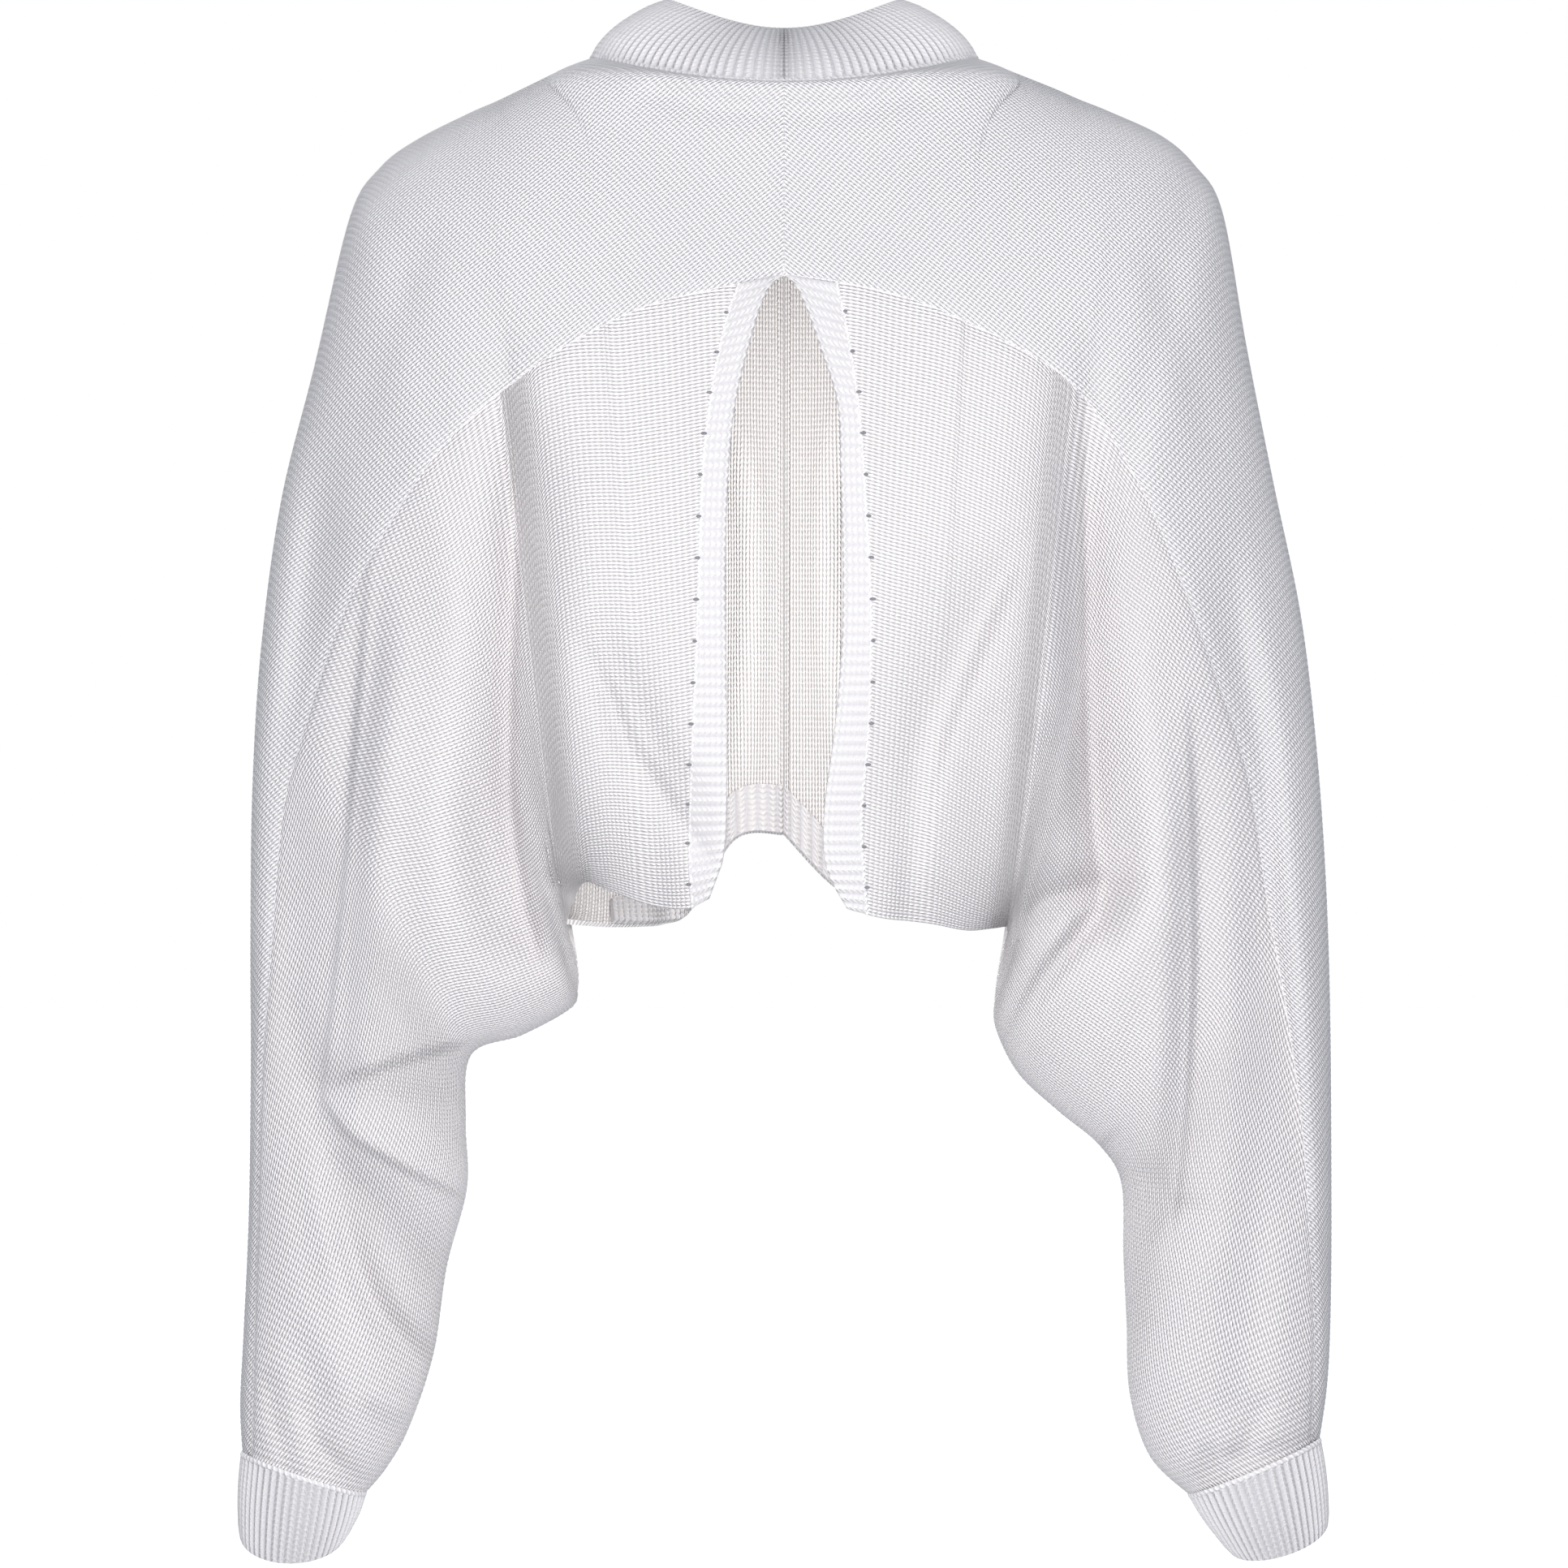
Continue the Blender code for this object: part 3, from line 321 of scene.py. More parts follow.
LEFT_FRONT_FOLDS = table_of(Fold, [
    (-14, 26, 20, [(120, -150), (112, -220), (110, -290), (106, -350), (100, -385)]),
    (-12, 26, 10, [(172, -190), (176, -270), (182, -340), (186, -420)]),
    (-9, 16, 18, [(212, -330), (206, -420), (196, -500), (178, -570)]),
    (-6, 22, 18, [(60, -90), (84, -160), (98, -240)]),
])
RIGHT_FRONT_FOLDS = table_of(Fold, [
    (-15, 26, 20, [(126, -140), (119, -210), (114, -280), (108, -340), (101, -388)]),
    (-11, 24, 12, [(176, -210), (181, -290), (183, -360), (180, -440)]),
    (-9, 16, 18, [(216, -340), (208, -430), (194, -520), (176, -590)]),
    (-6, 20, 18, [(58, -86), (82, -150), (97, -230)]),
])

# Lower edge of each cuff: its outer and inner end, how far the near side dips, and its depth
CuffEdge = namedtuple("CuffEdge", "over_x over_z end_x end_z dip depth")
LEFT_CUFF = CuffEdge(242.0, -655, 195.5, -655, 11, 24)
RIGHT_CUFF = CuffEdge(242.0, -650, 199.0, -662, 7, 24)

# Creases and soft edges that lie on the large folds, in the same form
LEFT_BACK_CREASES = table_of(Fold, [
    (-9, 30, 15, [(121, -105), (118, -170), (119, -240), (121, -300), (118, -348), (112, -384)]),
    (-7, 8, 4, [(121, -110), (118, -180), (119, -250), (121, -310), (118, -352), (112, -384)]),
    (9, 3.5, 28, [(178, -205), (184, -280), (189, -340), (195, -400), (201, -452)]),
    (8, 3.5, 30, [(203, -452), (184, -445), (160, -437), (138, -432), (112, -424)]),
    (7, 3.5, 13, [(204, -455), (192, -472), (172, -485), (146, -499)]),
    (-11, 14, 18, [(196, -480), (180, -508), (166, -534), (155, -556)]),
    (-5, 6, 9, [(205, -480), (196, -515), (184, -546), (170, -566), (158, -578)]),
    (5, 9, 9, [(188, -586), (172, -596), (160, -602)]),
    (-5, 8, 4, [(92, -250), (76, -282), (67, -304), (54, -322), (43, -338)]),
    (-6, 5, 9, [(108, -360), (98, -366), (88, -371), (80, -375)]),
    (-3, 9, 14, [(196, -150), (205, -215), (212, -270), (219, -330), (224, -380)]),
    (-9, 15, 15, [(207, -300), (214, -370), (219, -430), (219, -490), (211, -550), (206, -590)]),
    (-3, 5, 8, [(229, -578), (226, -600), (221, -618)]),
    (-2.5, 5, 7, [(215, -590), (207, -612), (196, -626)]),
    (-4, 10, 6, [(66, -16), (50, -20), (26, -25), (-8, -27)]),
    (-3, 16, 12, [(150, -70), (168, -110), (185, -160)]),
])
RIGHT_BACK_CREASES = table_of(Fold, [
    (-9, 30, 15, [(131, -100), (132, -165), (133, -230), (134, -290), (137, -340), (139, -368)]),
    (-7, 8, 4, [(131, -110), (132, -180), (133, -250), (134, -300), (137, -345), (139, -368)]),
    (-5, 5, 9, [(98, -388), (111, -374), (124, -367), (138, -365)]),
    (5, 4, 8, [(137, -370), (122, -386), (109, -404), (100, -422)]),
    (-4, 4, 10, [(143, -372), (129, -391), (115, -409), (105, -430)]),
    (9, 3.5, 26, [(173, -270), (177, -335), (178, -400), (176, -455), (172, -505)]),
    (-3, 7, 12, [(198, -270), (210, -325), (215, -380), (220, -440), (226, -500), (230, -560)]),
    (-8, 15, 15, [(200, -320), (206, -390), (210, -460), (208, -530), (204, -590)]),
    (-6, 5, 16, [(110, -205), (92, -240), (78, -272), (66, -305), (58, -345)]),
    (-5, 8, 12, [(112, -290), (116, -325), (120, -352)]),
    (-3, 5, 8, [(214, -590), (208, -608), (198, -624)]),
    (-2.5, 5, 7, [(182, -614), (198, -619), (228, -614)]),
    (-4, 10, 6, [(68, -16), (50, -20), (28, -25), (-8, -27)]),
    (-3, 16, 12, [(156, -76), (172, -120), (188, -170)]),
])
LEFT_FRONT_CREASES = table_of(Fold, [
    (-5, 13, 6, [(118, -170), (113, -230), (112, -290), (107, -350)]),
    (-5, 13, 6, [(176, -220), (180, -290), (186, -360), (190, -420)]),
    (-6, 6, 12, [(206, -450), (198, -500), (182, -555)]),
    (-3, 6, 8, [(214, -600), (206, -616), (196, -626)]),
    (-3, 8, 8, [(20, -150), (14, -220), (18, -300)]),
])
RIGHT_FRONT_CREASES = table_of(Fold, [
    (-6, 13, 6, [(124, -165), (120, -225), (116, -290), (109, -352)]),
    (-5, 13, 6, [(179, -235), (184, -300), (186, -370), (183, -430)]),
    (-6, 6, 12, [(210, -460), (198, -520), (181, -580)]),
    (-3, 6, 8, [(212, -596), (203, -612), (194, -624)]),
    (-3, 8, 8, [(26, -140), (20, -210), (24, -290)]),
])

BACK = 1
FRONT = -1
Side = namedtuple("Side", "sign sections hem arc slit back_folds front_folds cuff")
LEFT = Side(1, LEFT_SECTIONS, LEFT_HEM, LEFT_ARC, LEFT_SLIT, LEFT_BACK_FOLDS + LEFT_BACK_CREASES,
            LEFT_FRONT_FOLDS + LEFT_FRONT_CREASES, LEFT_CUFF)
RIGHT = Side(-1, RIGHT_SECTIONS, RIGHT_HEM, RIGHT_ARC, RIGHT_SLIT,
             RIGHT_BACK_FOLDS + RIGHT_BACK_CREASES, RIGHT_FRONT_FOLDS + RIGHT_FRONT_CREASES, RIGHT_CUFF)
LAST = len(LEFT_SECTIONS) - 1


def smooth(values, u):
    """Reads a smooth curve through evenly spaced values at u, from 0 to the last value."""
    points = np.asarray(values, float)
    last = len(points) - 1
    u = np.clip(np.asarray(u, float), 0, last)
    i = np.minimum(u.astype(int), last - 1)
    t = u - i
    if points.ndim > 1:
        t = t[..., None]
    before = points[np.maximum(i - 1, 0)]
    here = points[i]
    there = points[i + 1]
    after = points[np.minimum(i + 2, last)]
    bend = 2 * before - 5 * here + 4 * there - after
    twist = 3 * (here - there) + after - before
    return here + 0.5 * t * ((there - before) + t * (bend + t * twist))


def unit(ways):
    """The same directions, each one long."""
    return ways / np.linalg.norm(ways, axis=-1)[..., None]


def neck_seam(face, u):
    """Place of the neck seam at the first sections: across, in depth, and in height."""
    turn = np.radians(smooth(NECK_TURN, u))
    reach, drop = (NECK_BACK, NECK_DROP_BACK) if face == BACK else (-NECK_FRONT, NECK_DROP_FRONT)
    return NECK_WIDTH / 2 * np.cos(turn), reach * np.sin(turn), NECK_SIDE_Z - drop * np.sin(turn) ** 2


def part_smooth(own, shared, split, u):
    """Reads one face's own rows up to the split section, and the rows both faces share past it."""
    return np.where(u <= split, smooth(own[:split + 1], u), smooth(shared[split:], u - split))


def section_values(side, face, u):
    """Overarm point, end point, greatest depth and power of the section at u."""
    u = np.asarray(u, float)
    rows = side.sections
    mid_y = smooth([r.mid_y for r in rows], u)
    end_z = [r.end_z for r in rows]
    neck_x, _, neck_z = neck_seam(face, u)
    by_neck = u < NECK_SECTION
    past_neck = u - NECK_SECTION
    over_x = np.where(by_neck, neck_x, smooth([r.over_x for r in rows[NECK_SECTION:]], past_neck))
    over_z = np.where(by_neck, neck_z, smooth([r.over_z for r in rows[NECK_SECTION:]], past_neck))
    own_end_y = [h.back_y if face == BACK else h.front_y for h in side.hem]
    own_end_z = end_z if face == BACK else [h.front_z for h in side.hem]
    over = np.stack([over_x, mid_y, over_z], -1)
    end = np.stack([smooth([r.end_x for r in rows], u),
                    part_smooth(own_end_y, [r.mid_y for r in rows], HEM_SECTION, u),
                    part_smooth(own_end_z, end_z, HEM_SECTION, u)], -1)
    deep = smooth([r.mid_y + (r.back if face == BACK else r.front) for r in rows], u)
    power = smooth([r.power for r in rows], u)
    return over, end, deep, power


def neck_offset(face, u):
    """How far the neck seam stands off the shoulder line in depth, none past the shoulder."""
    return np.where(np.asarray(u) < NECK_SECTION, neck_seam(face, u)[1], 0)


def end_angle(over, end, deep, power):
    """Angle round the section at which its depth has come back to the end point's depth."""
    share = np.clip((end[..., 1] - over[..., 1]) / (deep - over[..., 1]), 0, 1)
    return np.pi - np.arcsin(share ** (1 / power))


def fold_relief(folds, x, z):
    """Sum of the folds' heights at points of the back or front view."""
    everywhere = np.stack([x.ravel(), z.ravel()], -1)
    total = np.zeros(len(everywhere))
    for fold in folds:
        count = ROUTE_STEPS * (len(fold.route) - 1)
        route = smooth(fold.route, np.linspace(0, len(fold.route) - 1, count + 1))
        room = FOLD_ROOM * max(fold.out_reach, fold.in_reach, FOLD_PAST)
        inside = (everywhere > route.min(0) - room) & (everywhere < route.max(0) + room)
        by_fold = np.flatnonzero(inside.all(-1))
        if not len(by_fold):
            continue
        spots = everywhere[by_fold][:, None, :]
        rows = np.arange(len(by_fold))
        step = np.diff(route, axis=0)
        away = spots - route[None, :-1]
        mix = np.clip((away * step).sum(-1) / (step ** 2).sum(-1), 0, 1)
        offset = away - mix[..., None] * step
        near = np.argmin((offset ** 2).sum(-1), axis=1)
        way = unit(step[near])
        offset = offset[rows, near]
        side_way = way[:, 0] * offset[:, 1] - way[:, 1] * offset[:, 0]
        past = (way * offset).sum(-1)
        reach = np.where(side_way > 0, fold.out_reach, fold.in_reach)
        distance = (side_way / reach) ** 2 + (past / FOLD_PAST) ** 2
        share = (near + mix[rows, near]) / count
        swell = np.clip(share / FOLD_SWELL, 0, 1)
        swell = swell * swell * (3 - 2 * swell)
        fade = np.clip((1 - share) / FOLD_SWELL, 0, 1)
        fade = FOLD_END + (1 - FOLD_END) * fade * fade * (3 - 2 * fade)
        total[by_fold] += fold.height * swell * fade * np.exp(-FOLD_BELL * distance)
    return total.reshape(x.shape)


def surface(side, face, u, v):
    """Outer face of the cloth: u runs from the centre to the wrist, v from overarm to hem."""
    u, v = np.broadcast_arrays(np.asarray(u, float), np.asarray(v, float))
    over, end, deep, power = section_values(side, face, u)
    last_angle = end_angle(over, end, deep, power)
    angle = np.clip(v, 0, 1) * last_angle
    share = (1 - np.cos(angle)) / (1 - np.cos(last_angle))
    x = over[..., 0] + (end[..., 0] - over[..., 0]) * share
    z = over[..., 2] + (end[..., 2] - over[..., 2]) * share
    round_out = np.clip(np.sin(angle), 0, 1) ** power
    spread = smooth(NECK_SPREAD, u) * round_out * np.exp(-share / SPREAD_FADE)
    x = x + spread
    z = z - SHOULDER_SLOPE * spread * np.clip((u - SLOPE_START) / SLOPE_RAMP, 0, 1)
    y = over[..., 1] + (deep - over[..., 1]) * round_out
    y = y + neck_offset(face, u) * (1 - round_out) * np.exp(-share / NECK_FADE)
    folds = side.back_folds if face == BACK else side.front_folds
    y = y + face * fold_relief(folds, x, z) * round_out * (2 - round_out)
    return np.stack([side.sign * x, y, z], -1)


def surface_normal(side, face, u, v):
    """Outward direction of the cloth, squared up where a wall meets its neighbour's."""
    u = np.asarray(u, float)
    v = np.asarray(v, float)
    u_low = np.clip(u - STEP_ALONG, 0, LAST)
    u_high = np.clip(u + STEP_ALONG, 0, LAST)
    v_low = np.clip(v - STEP_ACROSS, 0, 1)
    v_high = np.clip(v + STEP_ACROSS, 0, 1)
    along = surface(side, face, u_high, v) - surface(side, face, u_low, v)
    across = surface(side, face, u, v_high) - surface(side, face, u, v_low)
    normal = np.cross(along, across) * side.sign * face
    normal[..., 0] *= np.clip(u / CENTRE_BLEND, 0, 1)
    by_shoulder = np.where(u > NECK_SECTION, v, 1)
    by_underarm = np.where(u > HEM_SECTION, 1 - v, 1)
    normal[..., 1] *= np.clip(np.minimum(by_shoulder, by_underarm) / EDGE_BLEND, 0, 1)
    return unit(normal)


def top_share(side, face, u):
    """The v at which a piece starts, clear of the overarm line or of the neckband."""
    over, end, deep, power = section_values(side, face, u)
    clear = np.interp(u, [NECK_SECTION - 1, NECK_SECTION], [NECK_CLEAR, SIDE_CLEAR])
    room = clear / np.abs(deep - over[..., 1] - neck_offset(face, u))
    return np.arcsin(room ** (1 / power)) / end_angle(over, end, deep, power)


def end_share(side, face, u):
    """The v at which a piece ends, just clear of the underarm line."""
    over, end, deep, power = section_values(side, face, u)
    last = end_angle(over, end, deep, power)
    room = SIDE_CLEAR / np.abs(deep - over[..., 1])
    return np.minimum(1.0, (np.pi - np.arcsin(room ** (1 / power))) / last)


def share_to_v(side, u, share):
    """The v of a point that lies at a share of the way from overarm to end in the back view."""
    last = end_angle(*section_values(side, BACK, u))
    return np.arccos(np.clip(1 - share * (1 - np.cos(last)), -1, 1)) / last


def arc_share(side, u):
    """Share of the way along section u at which the arc seam crosses it."""
    arc = smooth(side.arc, np.linspace(0, len(side.arc) - 1, ARC_STEPS * len(side.arc)))
    over, end, _, _ = section_values(side, BACK, u)
    shares = []
    for high, low in zip(over[:, ::2], end[:, ::2]):
        way = low - high
        off = arc - high
        cross = way[0] * off[:, 1] - way[1] * off[:, 0]
        spot = np.flatnonzero(np.diff(np.sign(cross)) != 0)
        if len(spot) == 0:
            spot = [int(np.argmin(np.abs(cross[:-1])))]
        k = spot[0]
        mix = cross[k] / (cross[k] - cross[k + 1] + 1e-12)
        point = off[k] + (off[k + 1] - off[k]) * np.clip(mix, 0, 1)
        shares.append(np.clip(point @ way / (way @ way), *ARC_LIMITS))
    return np.array(shares)


def locate(side, x, z):
    """Section and v of back points near the middle, given by their place in the back view."""
    us = np.linspace(0, HEM_SECTION - 1, SEARCH_SECTIONS)
    over, end, _, _ = section_values(side, BACK, us)
    found = []
    for px, pz in zip(np.ravel(x), np.ravel(z)):
        share = pz / side.sections[0].end_z
        for _ in range(SEARCH_ROUNDS):
            row_x = over[:, 0] + (end[:, 0] - over[:, 0]) * share
            u = np.interp(px, row_x, us)
            low = np.interp(u, us, end[:, 2])
            high = np.interp(u, us, over[:, 2])
            share = np.clip((pz - high) / (low - high), 0, 1)
        found.append((u, share))
    found = np.array(found)
    u = found[:, 0].reshape(np.shape(x))
    share = found[:, 1].reshape(np.shape(x))
    return u, share_to_v(side, u, share)


def slit_edge(side, rows):
    """The lower back panel's edge beside the slit band: its section, x and z at each row."""
    spots = np.linspace(0, len(side.slit) - 1, EDGE_POINTS)
    edge = smooth([(r.out_x, r.out_z) for r in side.slit], spots)
    found = []
    for t in np.linspace(0, 1, rows):
        u = np.array([SLIT_GUESS])
        for _ in range(SEARCH_ROUNDS):
            seam = share_to_v(side, u, arc_share(side, u))
            z = surface(side, BACK, u, seam + (1 - seam) * t)[0, 2]
            x = np.interp(-z, -edge[:, 1], edge[:, 0]) + SEAM_GAP
            u, _ = locate(side, np.array([x]), np.array([z]))
        found.append((u[0], x, z))
    return np.array(found).T


def seam_v(side, u, clear):
    """The v of the arc seam at each section of a grid, moved by a small clearance."""
    flat = np.ravel(u)
    over, end, _, _ = section_values(side, BACK, flat)
    length = np.linalg.norm(end - over, axis=-1)
    return (share_to_v(side, flat, arc_share(side, flat)) + clear / length).reshape(np.shape(u))


def neck_ring(count):
    """Points of the neck seam, round from the left shoulder over the back."""
    points = []
    quarter = count // 4
    runs = [(LEFT, BACK, True), (RIGHT, BACK, False), (RIGHT, FRONT, True), (LEFT, FRONT, False)]
    for side, face, inward in runs:
        turn = np.arange(quarter) / quarter * NECK_SECTION
        u = NECK_SECTION - turn if inward else turn
        points.append(surface(side, face, u, 0.0))
    return np.concatenate(points)


# The linking chains: yarn's radius, length of a stitch, lift off the cloth, points of the path
Chain = namedtuple("Chain", "radius pitch lift points")
CHAINS = {
    "neck": Chain(1.5, 3.4, 0.2, 360),
    "arc": Chain(0.8, 2.6, -1.5, 260),
    "centre_back": Chain(0.7, 2.6, -0.75, 60),
    "overarm": Chain(0.9, 2.6, -0.35, 200),
    "underarm": Chain(0.9, 2.6, -0.35, 160),
    "cuff": Chain(1.3, 3.2, 0.3, 120),
    "slit": Chain(0.9, 2.2, -0.2, SLIT_ROWS),
}

# The form of a piece's flat cut in metres, its area in square metres, and how it is held
Cut = namedtuple("Cut", "width length area held hangs_from")


def cloth_panel(side, face, u, v, seam_above=0.0, seam_below=0.0):
    """Outer and inner points of a stretch of cloth, which dips into the seams at its edges."""
    outer = surface(side, face, u, v)
    normal = surface_normal(side, face, u, v)
    length = running_length(outer, 0)
    above = np.exp(-(length / SEAM_SOFT) ** 2) * seam_above
    below = np.exp(-((length[-1] - length) / SEAM_SOFT) ** 2) * seam_below
    outer = outer - normal * (above + below)[..., None]
    return outer, outer - WALL * normal


def running_length(points, axis):
    """Distance along a grid's rows or columns, from the first to each point."""
    step = np.linalg.norm(np.diff(points, axis=axis), axis=-1)
    start = np.zeros_like(np.take(step, [0], axis=axis))
    return np.concatenate([start, np.cumsum(step, axis=axis)], axis=axis)


def read_along(points, length, spots):
    """Points of a path at the given lengths along it."""
    return np.stack([np.interp(spots, length, points[:, k]) for k in range(3)], -1)


def rib_wave(turn):
    """Height of the ribs across a rib knit, from 0 to 1."""
    return 0.5 - 0.5 * np.cos(2 * np.pi * turn)


def ring_uv(outer, turn, ribs):
    """A ribbed ring's knit: the number of the rib, and the length along it."""
    length = running_length(outer, 0)
    across = np.broadcast_to(np.append(turn, ribs), (len(outer), len(turn) + 1))
    return np.stack([across, np.concatenate([length, length[:, :1]], axis=1)], -1)


def closing_up(t, bind):
    """Height of a ring's ribs at t, which the yarn of its bound edge draws together."""
    span, least = bind
    return np.clip((1 - t) / span, least, 1)


def along_sleeve(side, face, u, v):
    """Knit whose wales keep their distance from the hem and underarm, as if without folds."""
    plain = side._replace(back_folds=[], front_folds=[])
    even = np.linspace(0, LAST, SPACING_STEPS)
    down = running_length(surface(plain, face, even, np.linspace(0, 1, DOWN_STEPS)[:, None]), 0)
    down = down[-1] - down
    out = running_length(surface(plain, face, even, MIDDLE_V), 0)
    column = np.clip(u / LAST, 0, 1) * (SPACING_STEPS - 1)
    row = np.clip(v, 0, 1) * (DOWN_STEPS - 1)
    left = np.minimum(column.astype(int), SPACING_STEPS - 2)
    high = np.minimum(row.astype(int), DOWN_STEPS - 2)
    across = column - left
    fall = row - high
    upper = down[high, left] * (1 - across) + down[high, left + 1] * across
    lower = down[high + 1, left] * (1 - across) + down[high + 1, left + 1] * across
    return np.stack([upper * (1 - fall) + lower * fall, np.interp(u, even, out)], -1)


def even_sections(side, face, start, count):
    """Sections that lie at even steps along the middle of the cloth, out to the wrist."""
    u = np.linspace(start, LAST, SPACING_STEPS)
    length = running_length(surface(side, face, u, MIDDLE_V), 0)
    return np.interp(np.linspace(0, length[-1], count), length, u)


def flat_uv(points, side, turn):
    """Knit on cloth pressed flat from its lower edge up, its wales turned from the plumb line."""
    flat = points[..., [0, 2]] * [side.sign, -1]
    way = unit(flat[-1] - flat[0])
    length = running_length(points, 0)
    flat = flat[-1] - way * (length[-1] - length)[..., None]
    turn = np.radians(turn)
    wale = flat[..., 0] * np.cos(turn) - flat[..., 1] * np.sin(turn)
    course = flat[..., 0] * np.sin(turn) + flat[..., 1] * np.cos(turn)
    return np.stack([wale, course], -1)


def rim_quads(a, b):
    return np.stack([a[:-1], a[1:], b[1:], b[:-1]], -1)


def add_piece(name, mesh):
    """Makes an object at the origin from a finished mesh."""
    mesh.shade_smooth()
    thing = bpy.data.objects.new(name, mesh)
    bpy.context.scene.collection.objects.link(thing)
    return thing


def add_knit(name, points, faces, uv):
    """Makes a piece from points in millimetres, with its knit's place on every face corner."""
    mesh = bpy.data.meshes.new(name)
    mesh.from_pydata((points * MM).tolist(), [], faces)
    layer = mesh.uv_layers.new(name="knit")
    layer.data.foreach_set("uv", uv.ravel().astype(np.float32))
    shape = bmesh.new()
    shape.from_mesh(mesh)
    bmesh.ops.recalc_face_normals(shape, faces=shape.faces)
    shape.to_mesh(mesh)
    shape.free()
    return add_piece(name, mesh)


def add_shell(name, outer, inner, uv, closed=False):
    """Makes a closed thin shell from two grids of points and the knit's place on them."""
    rows, columns = outer.shape[:2]
    ids = np.arange(rows * columns).reshape(rows, columns)
    if closed:
        ids = np.concatenate([ids, ids[:, :1]], axis=1)
    corner = np.arange(ids.size).reshape(ids.shape)
    a, b = corner[:-1, :-1], corner[1:, :-1]
    c, d = corner[1:, 1:], corner[:-1, 1:]
    sheet = np.stack([a, b, c, d], -1).reshape(-1, 4)
    back = corner + ids.size
    other = np.stack([a, d, c, b], -1).reshape(-1, 4) + ids.size
    rims = [rim_quads(corner[0], back[0]), rim_quads(back[-1], corner[-1])]
    if not closed:
        rims += [rim_quads(back[:, 0], corner[:, 0]), rim_quads(corner[:, -1], back[:, -1])]
    corners = np.concatenate([sheet, other] + rims)
    both_ids = np.concatenate([ids.ravel(), ids.ravel() + rows * columns])
    both_uv = np.concatenate([uv.reshape(-1, 2), uv.reshape(-1, 2)])
    points = np.concatenate([outer.reshape(-1, 3), inner.reshape(-1, 3)])
    thing = add_knit(name, points, both_ids[corners].tolist(), both_uv[corners])
    thing.data.set_sharp_from_angle(angle=np.radians(SHARP_ANGLE))
    return thing


def yarn_ring(path, normal, radius, closed):
    """Rings of points round a path, of the given radii and flattened against the cloth."""
    if closed:
        tangent = np.roll(path, -1, 0) - np.roll(path, 1, 0)
    else:
        tangent = np.gradient(path, axis=0)
    tangent = unit(tangent)
    side_way = unit(np.cross(tangent, normal))
    up = np.cross(side_way, tangent)
    turn = np.arange(YARN_SIDES) / YARN_SIDES * 2 * np.pi
    wide = side_way[:, None] * np.cos(turn)[None, :, None]
    high = up[:, None] * np.sin(turn)[None, :, None] * YARN_SQUASH
    return path[:, None] + (wide + high) * radius[:, None, None]


def add_chain(name, path, normal, radius, pitch, closed=False):
    """Makes a row of linking stitches: a yarn along the path that swells at every stitch."""
    ends = np.concatenate([path, path[:1]]) if closed else path
    ways = np.concatenate([normal, normal[:1]]) if closed else normal
    length = running_length(ends, 0)
    count = max(YARN_SIDES, int(length[-1] / pitch) * STITCH_STEPS)
    spots = np.linspace(0, length[-1], count, endpoint=not closed)
    wave = np.abs(np.sin(np.arange(count) * np.pi / STITCH_STEPS))
    swell = YARN_THIN + (1 - YARN_THIN) * wave
    rings = yarn_ring(read_along(ends, length, spots), read_along(ways, length, spots),
                      radius * swell, closed)
    ids = np.arange(rings.shape[0] * YARN_SIDES).reshape(-1, YARN_SIDES)
    walk = np.concatenate([ids, ids[:1]]) if closed else ids
    a, b = walk[:-1], walk[1:]
    faces = np.stack([a, b, np.roll(b, -1, 1), np.roll(a, -1, 1)], -1).reshape(-1, 4).tolist()
    if not closed:
        faces += [ids[0].tolist(), ids[-1, ::-1].tolist()]
    corner = np.concatenate(faces)
    uv = np.stack([corner % YARN_SIDES, corner // YARN_SIDES], -1) * [1.0, pitch / STITCH_STEPS]
    return add_knit(name, rings.reshape(-1, 3), faces, uv)


class Signal:
    """A shader value that can be added, multiplied and so on, each step as one Math node."""

    def __init__(self, graph, socket):
        self.graph = graph
        self.socket = socket

    def maths(self, operation, other=0.0, flipped=False):
        first, second = (other, self) if flipped else (self, other)
        node = self.graph.node("ShaderNodeMath", operation=operation)
        for place, value in enumerate((first, second)):
            if isinstance(value, Signal):
                self.graph.tree.links.new(value.socket, node.inputs[place])
            else:
                node.inputs[place].default_value = value
        return Signal(self.graph, node.outputs[0])

    def __add__(self, other):
        return self.maths("ADD", other)

    def __sub__(self, other):
        return self.maths("SUBTRACT", other)

    def __rsub__(self, other):
        return self.maths("SUBTRACT", other, flipped=True)

    def __mul__(self, other):
        return self.maths("MULTIPLY", other)

    def __truediv__(self, other):
        return self.maths("DIVIDE", other)

    def __pow__(self, other):
        return self.maths("POWER", other)

    def __abs__(self):
        return self.maths("ABSOLUTE")

    def fraction(self):
        return self.maths("FRACT")

    def cosine(self):
        return self.maths("COSINE")

    def at_least(self, other):
        return self.maths("MAXIMUM", other)


